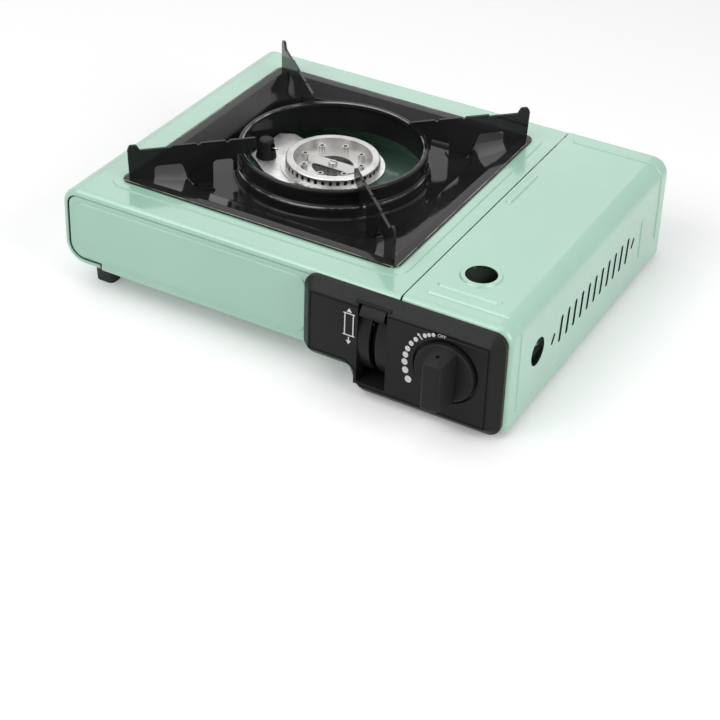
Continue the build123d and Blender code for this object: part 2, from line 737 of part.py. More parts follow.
with BuildPart() as control_panel:
    extrude(panel_section(facing_front(panel_back), 0), amount=panel_back - panel_face)
    chamfer(control_panel.faces().sort_by(Axis.Y)[0].edges(), panel_bevel)
    offset(amount=-panel_wall, openings=control_panel.faces().sort_by(Axis.Y)[-1])
    rod_along_y(bay_x, knob_z, knob_radius + 4, (panel_face, panel_face + panel_wall + knob_recess))
    # groove round the face and the raised land round the knob
    with BuildSketch(facing_front(panel_face)):
        add(panel_section(Plane.XY, panel_border))
        add(panel_section(Plane.XY, panel_border + groove_width), mode=Mode.SUBTRACT)
    extrude(amount=-0.6, mode=Mode.SUBTRACT)
    with BuildSketch(facing_front(panel_face)):
        add(panel_section(Plane.XY, panel_border + groove_width))
        with Locations(((land_left + panel_right) / 2, deck_height / 2)):
            Rectangle(panel_right - land_left, deck_height, mode=Mode.INTERSECT)
    extrude(amount=knob_land, taper=30)
    # sunk ring behind the knob
    rod_along_y(bay_x, knob_z, knob_radius + 2.3, (panel_face - 2, panel_face + knob_recess), mode=Mode.SUBTRACT)
    rod_along_y(bay_x, knob_z, spindle_radius + 5.5, (panel_face - 2, panel_face + 5), mode=Mode.SUBTRACT)
    # lever recess with its curved floor
    slab((recess_left - panel_wall, recess_right + panel_wall), (panel_face + 0.5, recess_back),
         (recess_low - panel_wall, recess_high + panel_wall / 2))
    slab((recess_left, recess_right), (panel_face - 2, recess_back + 1), (recess_low, recess_high),
         mode=Mode.SUBTRACT)
    with BuildSketch(Plane.YZ.offset(recess_left)) as drum:
        with Locations((lever_y, lever_z)):
            Circle(drum_radius)
            Circle(drum_radius - drum_wall, mode=Mode.SUBTRACT)
        with Locations(((panel_face + recess_back) / 2, (recess_low + recess_high) / 2)):
            Rectangle(recess_back - panel_face, recess_high - recess_low, mode=Mode.INTERSECT)
    extrude(drum.sketch, amount=recess_width)
    slab((lever_x - lever_slot / 2, lever_x + lever_slot / 2), (panel_face - 2, front + 4),
         (lever_z - 25.5, lever_z + 25.5), mode=Mode.SUBTRACT)
    # screw bosses and the igniter's cradle
    for place in panel_boss_places:
        rod_along_y(place[0], place[1], boss_radius, (panel_face + panel_wall - 0.5, bay_front))
        rod_along_y(place[0], place[1], screw_radius, (panel_face + 2 * panel_wall, bay_front), mode=Mode.SUBTRACT)
    for place in left_boss_places:
        rod_along_y(place[0], place[1], boss_radius, (panel_face + panel_wall - 0.5, front_face_y))
        rod_along_y(place[0], place[1], screw_radius, (panel_face + 2 * panel_wall, front_face_y),
                    mode=Mode.SUBTRACT)
    for clip_x in (igniter_left + 2, igniter_left + 10):
        slab((clip_x, clip_x + 2), (panel_face + panel_wall - 0.5, igniter_y),
             (knob_z - igniter_radius - 1.5, knob_z + igniter_radius + 1.5))
    rod_along_x(igniter_y, knob_z, igniter_radius, (igniter_left, igniter_left + igniter_length),
                mode=Mode.SUBTRACT)
control_panel.part.label = "control_panel"
export_step(control_panel.part, "parts/control_panel.step")

with BuildPart() as panel_screws:
    for place in panel_boss_places:
        rod_along_y(place[0], place[1], screw_radius, (bay_front - 9, bay_front + sheet))
        rod_along_y(place[0], place[1], screw_head, (bay_front + sheet, bay_front + sheet + 2))
    for place in left_boss_places:
        rod_along_y(place[0], place[1], screw_radius, (front_face_y - 5, front_face_y + 1.5 * sheet))
        rod_along_y(place[0], place[1], screw_head, (front_face_y + 1.5 * sheet, front_face_y + 3.5 * sheet))
panel_screws.part.label = "panel_screws"
export_step(panel_screws.part, "parts/panel_screws.step")

# ---------------------------------------------------------------- knob, spindle and piezo igniter
disc_front = knob_back - knob_disc
with BuildPart() as knob:
    rod_along_y(bay_x, knob_z, knob_radius, (disc_front, knob_back))
    fillet(knob.faces().sort_by(Axis.Y)[0].edges(), 1.5)
    with BuildSketch(facing_front(disc_front + 1)) as grip:
        with Locations((bay_x, knob_z)):
            Circle(knob_radius - 0.8)
            Rectangle(grip_foot, 2 * knob_radius, mode=Mode.INTERSECT)
    extrude(grip.sketch, amount=disc_front + 1 - (front - knob_reach), taper=8)
    fillet(knob.faces().sort_by(Axis.Y)[0].edges(), 1.8)
    disc((bay_x, front - knob_reach + 9), 1.5, (knob_z + knob_radius - 3.4, knob_z + knob_radius), mode=Mode.SUBTRACT)
    rod_along_y(bay_x, knob_z, spindle_radius + 4.5, (knob_back, knob_back + 3.5))
    rod_along_y(bay_x, knob_z, spindle_radius, (disc_front - 2, knob_back + 4), mode=Mode.SUBTRACT)
knob.part.label = "knob"
export_step(knob.part, "parts/knob.step")

spindle_tip = regulator_front + 6
with BuildPart() as valve_spindle:
    rod_along_y(bay_x, knob_z, spindle_radius, (disc_front - 2, spindle_tip))
valve_spindle.part.label = "valve_spindle"
export_step(valve_spindle.part, "parts/valve_spindle.step")

# spiral cam: its radius grows steadily over the knob's whole turn and pushes the plunger back
cam_low = 12.0
cam_steps = 12
cam_turn = 150.0


def cam_point(share):
    """Point of the spiral after the given share of the knob's turn, from the cam's centre."""
    radius = cam_low + plunger_travel * share
    angle = pi - radians(cam_turn) * share
    return radius * cos(angle), radius * sin(angle)


with BuildPart() as ignition_cam:
    with BuildSketch(Plane(origin=(bay_x, igniter_y + 2, knob_z), x_dir=(1, 0, 0), z_dir=(0, -1, 0))):
        with BuildLine():
            ramp = Spline(*[cam_point(step / cam_steps) for step in range(cam_steps + 1)])
            Line(ramp @ 1, (cam_low, 0))
            ThreePointArc((cam_low, 0), (0, -cam_low), (-cam_low, 0))
        make_face()
        Circle(spindle_radius, mode=Mode.SUBTRACT)
    extrude(amount=4)
ignition_cam.part.label = "ignition_cam"
export_step(ignition_cam.part, "parts/ignition_cam.step")

plunger_right = bay_x - cam_low - flush_gap
with BuildPart() as piezo_igniter:
    rod_along_x(igniter_y, knob_z, igniter_radius, (igniter_left, igniter_left + igniter_length))
    rod_along_x(igniter_y, knob_z, plunger_radius + slip, (igniter_left + 1.5, igniter_left + igniter_length + 1),
                mode=Mode.SUBTRACT)
    disc((igniter_left + 6, igniter_y), 1.2, (knob_z - igniter_radius - 4, knob_z - igniter_radius + 0.3))
piezo_igniter.part.label = "piezo_igniter"
export_step(piezo_igniter.part, "parts/piezo_igniter.step")

with BuildPart() as piezo_plunger:
    rod_along_x(igniter_y, knob_z, plunger_radius, (igniter_left + 1.5 + plunger_travel + 0.5, plunger_right))
piezo_plunger.part.label = "piezo_plunger"
export_step(piezo_plunger.part, "parts/piezo_plunger.step")

# ---------------------------------------------------------------- lock lever
def crank_point(radius, angle):
    """Point (Y, Z) at the given radius from the lever's pivot; the angle runs from +Y towards +Z."""
    return lever_y + radius * cos(radians(angle)), lever_z + radius * sin(radians(angle))


tab_rest = 180 - lever_turn / 2
crank_rest = 90 - lever_turn / 2
with BuildPart() as lock_lever:
    with BuildSketch(Plane.YZ.offset(lever_x - lever_web / 2)) as web:
        with Locations((lever_y, lever_z)):
            Circle(hub_radius)
        with Locations(Location((*crank_point(drum_radius / 2 + 1, tab_rest), 0), (0, 0, tab_rest))):
            Rectangle(drum_radius + 2, 2 * hub_radius - 3)
    extrude(web.sketch, amount=lever_web)
    with BuildSketch(Plane.YZ.offset(lever_x - tab_width / 2)) as tab:
        with Locations((lever_y, lever_z)):
            Circle(tab_outer)
            Circle(tab_inner, mode=Mode.SUBTRACT)
        with Locations(Location((*crank_point(tab_outer, tab_rest), 0), (0, 0, tab_rest))):
            Rectangle(tab_outer, 2 * tab_outer * sin(radians(tab_angle / 2)), mode=Mode.INTERSECT)
    extrude(tab.sketch, amount=tab_width)
    outer_edges = lock_lever.edges().filter_by(Axis.X).filter_by(
        lambda edge: abs(Vector(0, edge.center().Y - lever_y, edge.center().Z - lever_z).length - tab_outer) < 0.2)
    fillet(outer_edges, 1.5)
    rod_along_x(lever_y, lever_z, hub_radius, (lever_x - lever_web / 2 - 1.5, hub_right))
    with BuildSketch(Plane.YZ.offset(lever_x + lever_web / 2)) as crank:
        with Locations(Location((*crank_point(crank_radius / 2, crank_rest), 0), (0, 0, crank_rest))):
            SlotCenterToCenter(crank_radius, 8)
    extrude(crank.sketch, amount=rod_gap)
    rod_along_x(*crank_point(crank_radius, crank_rest), crank_pin_radius, (hub_right, rod_left + rod_thickness + 0.5))
    rod_along_x(lever_y, lever_z, lever_pin_radius + slip, (lever_x - 10, hub_right + 1), mode=Mode.SUBTRACT)
lock_lever.part.label = "lock_lever"
export_step(lock_lever.part, "parts/lock_lever.step")

bracket_left = lever_x - lever_web / 2 - 2
bracket_right = rod_left + rod_thickness + 1.2
with BuildPart() as lever_bracket:
    slab((bracket_left - 1.2, bracket_right + 1.2), (lever_y - 8, lever_y + 14), (bay_floor, bay_floor + 1.2))
    for cheek in (bracket_left - 1.2, bracket_right):
        slab((cheek, cheek + 1.2), (lever_y - 8, lever_y + 14), (bay_floor, lever_z + 5))
    rod_along_x(lever_y, lever_z, lever_pin_radius, (bracket_left - 3, bracket_right + 3), mode=Mode.SUBTRACT)
    rod_along_x(pipe_y, pipe_z, pipe_radius + 0.8, (bracket_left - 3, bracket_right + 3), mode=Mode.SUBTRACT)
lever_bracket.part.label = "lever_bracket"
export_step(lever_bracket.part, "parts/lever_bracket.step")

with BuildPart() as lever_pin:
    rod_along_x(lever_y, lever_z, lever_pin_radius, (bracket_left - 1.2, bracket_right + 1.2))
    rod_along_x(lever_y, lever_z, lever_pin_radius + 1, (bracket_left - 2.2, bracket_left - 1.2))
lever_pin.part.label = "lever_pin"
export_step(lever_pin.part, "parts/lever_pin.step")

# ---------------------------------------------------------------- cartridge carriage and cradle
crank_throw = crank_radius * cos(radians(crank_rest))
carriage_travel = 2 * crank_throw
cartridge_front = seat_face + carriage_travel
pusher_y = cartridge_front + cartridge_length + 1
rod_front = lever_y - 10
with BuildPart() as pusher_rod:
    slab((rod_left, rod_left + rod_thickness), (rod_front, pusher_y), (rod_low, rod_high))
    slab((rod_left - 1, rod_left + rod_thickness + 1),
         (lever_y + crank_throw - crank_pin_radius - yoke_play, lever_y + crank_throw + crank_pin_radius + yoke_play),
         (rod_low + 1.4, rod_high - 1.8), mode=Mode.SUBTRACT)
pusher_rod.part.label = "pusher_rod"
export_step(pusher_rod.part, "parts/pusher_rod.step")

with BuildPart() as pusher_plate:
    slab((rod_left, rod_left + pusher_width), (pusher_y, pusher_y + pusher_thickness), (32, rod_high))
    fillet(pusher_plate.edges().filter_by(Axis.Y).sort_by(Axis.X)[-2:], 6)
pusher_plate.part.label = "pusher_plate"
export_step(pusher_plate.part, "parts/pusher_plate.step")

with BuildPart() as rod_guides:
    for y_start in (front + 62, front + 204):
        slab((rod_left - 3, rod_left + rod_thickness + 3), (y_start, y_start + 2), (bay_floor, rod_high + 3))
        slab((rod_left - 0.25, rod_left + rod_thickness + 0.25), (y_start - 1, y_start + 3),
             (rod_low - 0.25, rod_high + 0.25), mode=Mode.SUBTRACT)
        slab((rod_left - 3, rod_left + rod_thickness + 3), (y_start, y_start + 10), (bay_floor, bay_floor + 1.2))
rod_guides.part.label = "rod_guides"
export_step(rod_guides.part, "parts/rod_guides.step")

with BuildPart() as bay_guide:
    slab((guide_left, guide_left + sheet), (front + 50, back - 52), (bay_floor, bay_floor + guide_height))
    slab((guide_left, guide_left + 8), (front + 50, back - 52), (bay_floor, bay_floor + sheet))
bay_guide.part.label = "bay_guide"
export_step(bay_guide.part, "parts/bay_guide.step")

cradle_front = seat_face + 14
cradle_back = pusher_y - 18
with BuildPart() as cartridge_cradle:
    for side in (-1, 1):
        rail = bay_x + side * rail_spread
        slab((rail - rail_width / 2, rail + rail_width / 2), (cradle_front, cradle_back), (bay_floor, 24))
    for y_start in (cradle_front, cradle_back - 12):
        slab((bay_x - rail_spread, bay_x + rail_spread), (y_start, y_start + 12), (bay_floor, bay_floor + 1.5))
    rod_along_y(bay_x, cartridge_z, cartridge_radius + 0.3, (cradle_front - 1, cradle_back + 1), mode=Mode.SUBTRACT)
cartridge_cradle.part.label = "cartridge_cradle"
export_step(cartridge_cradle.part, "parts/cartridge_cradle.step")

# ---------------------------------------------------------------- regulator and gas line
with BuildPart() as regulator_body:
    slab((bay_x - regulator_width / 2, bay_x + regulator_width / 2), (regulator_front, regulator_back),
         (regulator_low, regulator_high))
    fillet(regulator_body.edges().filter_by(Axis.Y), 5)
    rod_along_y(bay_x, cartridge_z, seat_radius, (regulator_back, seat_face))
    rod_along_y(bay_x, cartridge_z, seat_bore, (seat_face - 6, seat_face + 1), mode=Mode.SUBTRACT)
    rod_along_y(bay_x, cartridge_z, 2.0, (seat_face - 14, seat_face), mode=Mode.SUBTRACT)
    rod_along_y(bay_x, knob_z, spindle_radius + slip, (regulator_front - 1, spindle_tip + 0.5), mode=Mode.SUBTRACT)
    for side in (-12, 12):
        rod_along_y(bay_x + side, cartridge_z + 14, screw_radius, (regulator_front - 1, regulator_front + 7),
                    mode=Mode.SUBTRACT)
    rod_along_x(pipe_y, pipe_z, pipe_radius, (bay_x - regulator_width / 2 - 1, bay_x - regulator_width / 2 + 4),
                mode=Mode.SUBTRACT)
regulator_body.part.label = "regulator_body"
export_step(regulator_body.part, "parts/regulator_body.step")

with BuildPart() as seat_seal:
    rod_along_y(bay_x, cartridge_z, seat_bore, (seat_face - 6, seat_face - 6 + seal_section))
    rod_along_y(bay_x, cartridge_z, seat_bore - 2, (seat_face - 7, seat_face - 3), mode=Mode.SUBTRACT)
seat_seal.part.label = "seat_seal"
export_step(seat_seal.part, "parts/seat_seal.step")

with BuildPart() as regulator_screws:
    for side in (-12, 12):
        rod_along_y(bay_x + side, cartridge_z + 14, screw_radius, (bay_front, regulator_front + 7))
        rod_along_y(bay_x + side, cartridge_z + 14, screw_head, (bay_front - 2, bay_front))
regulator_screws.part.label = "regulator_screws"
export_step(regulator_screws.part, "parts/regulator_screws.step")

mixer_direction = Vector(cos(radians(mixer_turn)), sin(radians(mixer_turn)), 0)
burner_centre = Vector(burner_x, burner_y, pipe_z)
pipe_corner = burner_centre + mixer_direction * ((burner_y - pipe_y) / -sin(radians(mixer_turn)))
nozzle_start = mixer_length + 14
with BuildPart() as gas_pipe:
    with BuildLine() as pipe_path:
        FilletPolyline(
            (bay_x - regulator_width / 2 + 4, pipe_y, pipe_z),
            pipe_corner,
            burner_centre + mixer_direction * nozzle_start,
            radius=14,
        )
    with BuildSketch(Plane.YZ.offset(bay_x - regulator_width / 2 + 4)):
        with Locations((pipe_y, pipe_z)):
            Circle(pipe_radius)
            Circle(pipe_radius - 0.8, mode=Mode.SUBTRACT)
    sweep()
gas_pipe.part.label = "gas_pipe"
export_step(gas_pipe.part, "parts/gas_pipe.step")


def across_mixer(distance):
    """Plane across the mixing tube at the given distance from the burner's axis."""
    return Plane(origin=burner_centre + mixer_direction * distance, x_dir=(0, 0, 1), z_dir=mixer_direction)


with BuildPart() as gas_nozzle:
    with BuildSketch(across_mixer(mixer_length - 4)):
        Circle(2.0)
    with BuildSketch(across_mixer(mixer_length + 4)):
        Circle(5.0)
    loft()
    with BuildSketch(across_mixer(mixer_length + 4)):
        RegularPolygon(6.0, 6)
    extrude(amount=nozzle_start - mixer_length + 2)
    with BuildSketch(across_mixer(nozzle_start)):
        Circle(pipe_radius)
    extrude(amount=10, mode=Mode.SUBTRACT)
    with BuildSketch(across_mixer(mixer_length - 5)):
        Circle(0.6)
    extrude(amount=30, mode=Mode.SUBTRACT)
gas_nozzle.part.label = "gas_nozzle"
export_step(gas_nozzle.part, "parts/gas_nozzle.step")

# ---------------------------------------------------------------- burner
mixer_foot = pipe_z - mixer_radius - 1.5
burner_section = Plane(origin=(burner_x, burner_y, 0), x_dir=(1, 0, 0), z_dir=(0, -1, 0))
with BuildPart() as burner_body:
    # bowl and neck
    with BuildSketch(burner_section):
        with BuildLine():
            Polyline(
                (0, mixer_foot),
                (neck_radius, mixer_foot),
                (neck_radius, pipe_z + 12),
                (burner_radius - 1, burner_flange - bowl_height),
                (burner_radius - 1, burner_flange - flange_thickness),
                (flange_radius, burner_flange - flange_thickness),
                (flange_radius, burner_flange),
                (0, burner_flange),
                close=True,
            )
        make_face()
    revolve(axis=burner_axis)
    # mixing tube with its flared mouth
    with BuildSketch(across_mixer(1)):
        Circle(mixer_radius)
    extrude(amount=mixer_length - 1)
    with BuildSketch(across_mixer(mixer_length - 6)):
        Circle(mixer_radius + 2)
    extrude(amount=6)
    # flat arm that carries the igniter
    with BuildSketch(Plane(origin=(burner_x, burner_y, burner_flange - 1.2 - casting_thickness))):
        with BuildLine():
            Polyline((-8, -36), (-19, -38.5), (-37, -33.5), (-52, -21.5), (-casting_reach + 1, -17),
                     (-casting_reach + 2, 22), (-48, 27), (-41, 24.5), (-30, 21), close=True)
        make_face()
    extrude(amount=casting_thickness)
    # hollow of the bowl and the tube, and the pillar for the burner's screw
    with BuildSketch(burner_section):
        with BuildLine():
            Polyline(
                (0, mixer_foot + 2),
                (neck_radius - 2, mixer_foot + 2),
                (neck_radius - 2, pipe_z + 12.6),
                (cup_radius + 2, burner_flange - bowl_height + 1.5),
                (cup_radius + 2, burner_flange + 1),
                (0, burner_flange + 1),
                close=True,
            )
        make_face()
    revolve(axis=burner_axis, mode=Mode.SUBTRACT)
    with BuildSketch(across_mixer(1)):
        Circle(mixer_radius - mixer_wall)
    extrude(amount=mixer_length, mode=Mode.SUBTRACT)
    disc((burner_x, burner_y), 4, (mixer_foot + 1, burner_floor))
    disc((burner_x, burner_y), screw_radius, (burner_floor - 9, burner_floor + 1), mode=Mode.SUBTRACT)
    disc((dome_x, dome_y), insulator_radius, (burner_flange - 10, burner_flange), mode=Mode.SUBTRACT)
burner_body.part.label = "burner_body"
export_step(burner_body.part, "parts/burner_body.step")

with BuildPart() as burner_head:
    disc((burner_x, burner_y), burner_radius, (burner_flange, burner_top))
    fillet(burner_head.faces().sort_by(Axis.Z)[-1].edges(), 1.2)
    disc((burner_x, burner_y), cup_radius + 2, (burner_floor - cup_floor, burner_flange + 1))
    disc((burner_x, burner_y), cup_radius, (burner_floor, burner_top + 1), mode=Mode.SUBTRACT)
    disc((burner_x, burner_y), cup_hole, (burner_floor - 3, burner_top), mode=Mode.SUBTRACT)
    with Locations((burner_x, burner_y, (burner_flange + burner_top) / 2)):
        with PolarLocations(burner_radius - tooth_depth / 2 + 0.5, teeth_count):
            Box(tooth_depth + 1, tooth_gap, head_height - 3.2, mode=Mode.SUBTRACT)
    with Locations((burner_x, burner_y, burner_floor)):
        with PolarLocations(port_circle, port_count, start_angle=port_turn):
            Cylinder(port_radius - 0.8, 10, mode=Mode.SUBTRACT)
burner_head.part.label = "burner_head"
export_step(burner_head.part, "parts/burner_head.step")

with BuildPart() as burner_ports:
    with Locations((burner_x, burner_y, burner_floor)):
        with PolarLocations(port_circle, port_count, start_angle=port_turn):
            Cylinder(port_radius, port_height, align=(Align.CENTER, Align.CENTER, Align.MIN))
            Cylinder(port_radius - 0.8, port_height + 1, align=(Align.CENTER, Align.CENTER, Align.MIN),
                     mode=Mode.SUBTRACT)
burner_ports.part.label = "burner_ports"
export_step(burner_ports.part, "parts/burner_ports.step")

with BuildPart() as burner_bar:
    with BuildSketch(Plane.XY.offset(burner_floor)):
        with Locations((burner_x, burner_y)):
            Rectangle(2 * cup_hole + 7, 11)
            Circle(screw_radius, mode=Mode.SUBTRACT)
    extrude(amount=1.5)
    fillet(burner_bar.edges().filter_by(Axis.Z).sort_by_distance((burner_x, burner_y, burner_floor))[-4:], 3)
burner_bar.part.label = "burner_bar"
export_step(burner_bar.part, "parts/burner_bar.step")

with BuildPart() as burner_screw:
    disc((burner_x, burner_y), screw_radius, (burner_floor - 8, burner_floor + 1.5))
    disc((burner_x, burner_y), 3.2, (burner_floor + 1.5, burner_floor + 3.7))
    fillet(burner_screw.faces().sort_by(Axis.Z)[-1].edges(), 0.8)
    slab((burner_x - 4, burner_x + 4), (burner_y - 0.5, burner_y + 0.5), (burner_floor + 2.8, burner_floor + 5),
         mode=Mode.SUBTRACT)
burner_screw.part.label = "burner_screw"
export_step(burner_screw.part, "parts/burner_screw.step")

# igniter electrode under its dome, beside the burner
arm_top = burner_flange - 1.2
with BuildPart() as igniter_cover:
    with BuildSketch(Plane.XY.offset(arm_top)) as dome_base:
        with Locations((dome_x, dome_y)):
            Circle(dome_radius)
    extrude(dome_base.sketch, amount=dome_height, taper=9)
    fillet(igniter_cover.faces().sort_by(Axis.Z)[-1].edges(), 2)
    with BuildSketch(Plane.XY.offset(arm_top)) as dome_bore:
        with Locations((dome_x, dome_y)):
            Circle(dome_radius - dome_wall)
    extrude(dome_bore.sketch, amount=dome_height - dome_wall, taper=9, mode=Mode.SUBTRACT)
    slab((dome_x, dome_x + 10), (dome_y - 2.5, dome_y + 2.5), (arm_top + 6, arm_top + 11.5), mode=Mode.SUBTRACT)
igniter_cover.part.label = "igniter_cover"
export_step(igniter_cover.part, "parts/igniter_cover.step")

with BuildPart() as igniter_insulator:
    disc((dome_x, dome_y), insulator_radius, (arm_top - 16, arm_top + 5))
    disc((dome_x, dome_y), electrode_radius, (arm_top - 17, arm_top + 6), mode=Mode.SUBTRACT)
igniter_insulator.part.label = "igniter_insulator"
export_step(igniter_insulator.part, "parts/igniter_insulator.step")

with BuildPart() as igniter_electrode:
    disc((dome_x, dome_y), electrode_radius, (arm_top - 20, arm_top + 9))
    rod_along_x(dome_y, arm_top + 8.3, electrode_radius, (dome_x, dome_x + 9.5))
igniter_electrode.part.label = "igniter_electrode"
export_step(igniter_electrode.part, "parts/igniter_electrode.step")

stand_x = burner_x - casting_reach + 8
with BuildPart() as burner_stand:
    stand_top = arm_top - casting_thickness
    slab((stand_x - 6, stand_x + 5), (burner_y - 8, burner_y + 16), (stand_top - sheet, stand_top))
    for leg_y in (burner_y - 8, burner_y + 16 - sheet):
        slab((stand_x - 6, stand_x + 5), (leg_y, leg_y + sheet), (base_top, stand_top))
    for foot_y in (burner_y - 16, burner_y + 15):
        slab((stand_x - 6, stand_x + 5), (foot_y, foot_y + 9), (base_top, base_top + sheet))
burner_stand.part.label = "burner_stand"
export_step(burner_stand.part, "parts/burner_stand.step")

mixer_rest = burner_centre + mixer_direction * (mixer_length - 10)
with BuildPart() as mixer_bracket:
    with BuildSketch(across_mixer(mixer_length - 12)):
        Rectangle(2 * (pipe_z - base_top), 2 * mixer_radius + 8)
    extrude(amount=1.5)
    with BuildSketch(across_mixer(mixer_length - 12)):
        with Locations((-(pipe_z - base_top) + 0.6, 0)):
            Rectangle(1.2, 2 * mixer_radius + 8)
    extrude(amount=-9)
    with BuildSketch(across_mixer(mixer_length - 22)):
        Circle(mixer_radius)
    extrude(amount=20, mode=Mode.SUBTRACT)
mixer_bracket.part.label = "mixer_bracket"
export_step(mixer_bracket.part, "parts/mixer_bracket.step")

# ---------------------------------------------------------------- drip tray
def tray_ring(width, depth, corner, height):
    """Rounded rectangle centred on the burner at the given height."""
    with BuildSketch(Plane.XY.offset(height)) as ring:
        with Locations((burner_x, burner_y)):
            RectangleRounded(width, depth, corner)
    return ring.sketch.faces()[0]


margin_outer = 2 * rim_width
margin_inner = margin_outer + 2 * margin_width
floor_inset = margin_inner + 2 * well_wall
hub_height = 8.0
hub_wall = 2.0
collar_wall = 1.2
collar_bead = 4.0
wall_radius = collar_radius - 0.7
with BuildPart() as drip_tray:
    with BuildSketch(Plane.XY.offset(tray_seat)) as flange:
        with Locations((burner_x, burner_y)):
            RectangleRounded(tray_width, tray_depth, tray_corner)
    extrude(flange.sketch, amount=rim_height)
    fillet(drip_tray.faces().sort_by(Axis.Z)[-1].edges(), 1.0)
    loft([
        tray_ring(tray_width - margin_outer + 2, tray_depth - margin_outer + 2, tray_corner + 1, tray_seat),
        tray_ring(tray_width - margin_inner + 2, tray_depth - margin_inner + 2, well_corner + 1,
                  rim_top - margin_drop - tray_sheet),
    ])
    loft([
        tray_ring(tray_width - margin_inner + 2, tray_depth - margin_inner + 2, well_corner + 1,
                  rim_top - margin_drop - tray_sheet),
        tray_ring(tray_width - floor_inset + 2, tray_depth - floor_inset + 2, well_corner - well_wall + 1,
                  tray_floor - tray_sheet),
    ])
    loft([
        tray_ring(tray_width - margin_outer, tray_depth - margin_outer, tray_corner, rim_top),
        tray_ring(tray_width - margin_inner, tray_depth - margin_inner, well_corner, rim_top - margin_drop),
    ], mode=Mode.SUBTRACT)
    loft([
        tray_ring(tray_width - margin_inner, tray_depth - margin_inner, well_corner, rim_top - margin_drop),
        tray_ring(tray_width - floor_inset, tray_depth - floor_inset, well_corner - well_wall, tray_floor),
    ], mode=Mode.SUBTRACT)
    disc((burner_x, burner_y), wall_radius + hub_wall, (tray_floor - tray_sheet, tray_floor + hub_height))
    fillet(drip_tray.edges().filter_by(GeomType.CIRCLE).group_by(Axis.Z)[-1], 1.2)
    disc((burner_x, burner_y), wall_radius, (tray_floor - 3, tray_floor + hub_height + 1), mode=Mode.SUBTRACT)
    for turn in (-135.7, -44.3, 44.3, 135.7):
        with Locations((burner_x, burner_y, tray_floor)):
            with Locations(Location((rivet_reach * cos(radians(turn)) + 6 * cos(radians(turn + 90)),
                                     rivet_reach * sin(radians(turn)) + 6 * sin(radians(turn + 90)), 0))):
                Cylinder(rivet_radius - 0.6, 4, mode=Mode.SUBTRACT)
drip_tray.part.label = "drip_tray"
export_step(drip_tray.part, "parts/drip_tray.step")

with BuildPart() as flame_collar:
    with BuildSketch(burner_section):
        with Locations((wall_radius - collar_wall / 2, (tray_floor - tray_sheet + collar_top - 1) / 2)):
            Rectangle(collar_wall, collar_top - 1 - tray_floor + tray_sheet)
        with Locations(((collar_radius + collar_bore) / 2, collar_top - collar_bead / 2)):
            RectangleRounded(collar_radius - collar_bore, collar_bead, 1.8)
    revolve(axis=burner_axis)
flame_collar.part.label = "flame_collar"
export_step(flame_collar.part, "parts/flame_collar.step")

# ---------------------------------------------------------------- pan supports
margin_edge = 138.9         # tray's sloping border along the diagonal, outer and inner end
margin_foot = 105.3
well_foot = 102.3


def support_plane(turn):
    """Upright plane through the burner's axis, turned from +X, with its local X pointing outwards."""
    direction = Vector(cos(radians(turn)), sin(radians(turn)), 0)
    return Plane(origin=(burner_x, burner_y, 0), x_dir=direction, z_dir=direction.cross(Vector(0, 0, 1)))


def support_outline(turn):
    """Pan support seen from its side: bar, three legs, horn and nicks."""
    leg_foot = rim_top + 0.05 - margin_drop * (margin_edge - outer_leg[0]) / (margin_edge - margin_foot)
    with BuildSketch(support_plane(turn)) as outline:
        with BuildLine():
            Polyline(
                (support_inner, support_top),
                (nick_places[-1], support_top),
                (nick_places[-1], support_top - 1.2),
                (horn_reach - 6, support_top - 1.2),
                (horn_reach - 3.5, horn_top),
                (horn_reach + 1.5, horn_top),
                (outer_leg[1] + 1, horn_top - horn_radius),
                (outer_leg[1], rim_top),
                (margin_edge, rim_top + 0.05),
                (outer_leg[0], leg_foot),
                (outer_leg[0], support_bar),
                (middle_leg[1] + 3, support_bar),
                (middle_leg[1], tray_floor + 9),
                (well_foot - 2, tray_floor),
                (middle_leg[0], tray_floor),
                (middle_leg[0], support_bar),
                (inner_leg[1], support_bar),
                (inner_leg[1], tray_floor + hub_height + 1.5),
                (inner_leg[0] + 0.6, tray_floor + hub_height + 1.5),
                (inner_leg[0] + 0.6, collar_top),
                (collar_bore + 0.5, collar_top),
                (support_inner, collar_top + 4),
                close=True,
            )
        make_face()
        for corner in ((outer_leg[0], support_bar), (middle_leg[1] + 3, support_bar),
                       (middle_leg[0], support_bar), (inner_leg[1], support_bar)):
            fillet(outline.vertices().sort_by_distance(corner)[0], 3)
        for corner in ((horn_reach - 3.5, horn_top), (horn_reach + 1.5, horn_top)):
            fillet(outline.vertices().sort_by_distance(corner)[0], 2)
        fillet(outline.vertices().sort_by_distance((support_inner, support_top))[0], 2)
        with Locations(*[(place, support_top + 0.2) for place in nick_places]):
            Circle(nick_depth, mode=Mode.SUBTRACT)
    return outline.sketch


support_turns = {
    "pan_support_front_left": -135.7,
    "pan_support_front_right": -44.3,
    "pan_support_back_right": 44.3,
    "pan_support_back_left": 135.7,
}
for support_name, turn in support_turns.items():
    across = Vector(cos(radians(turn + 90)), sin(radians(turn + 90)), 0)
    with BuildPart() as pan_support:
        extrude(support_outline(turn), amount=support_thickness / 2, both=True)
        # tab bent out of the middle leg, riveted to the tray
        tab_centre = Vector(burner_x, burner_y, 0) + support_plane(turn).x_dir * rivet_reach + across * 5
        with Locations(Location((tab_centre.X, tab_centre.Y, tray_floor), (0, 0, turn))):
            Box(11, 10, 1.5, align=(Align.CENTER, Align.CENTER, Align.MIN))
        with Locations(Location((tab_centre.X + across.X, tab_centre.Y + across.Y, tray_floor), (0, 0, turn))):
            Cylinder(rivet_radius - 0.6, 6, mode=Mode.SUBTRACT)
    pan_support.part.label = support_name
    export_step(pan_support.part, "parts/" + support_name + ".step")

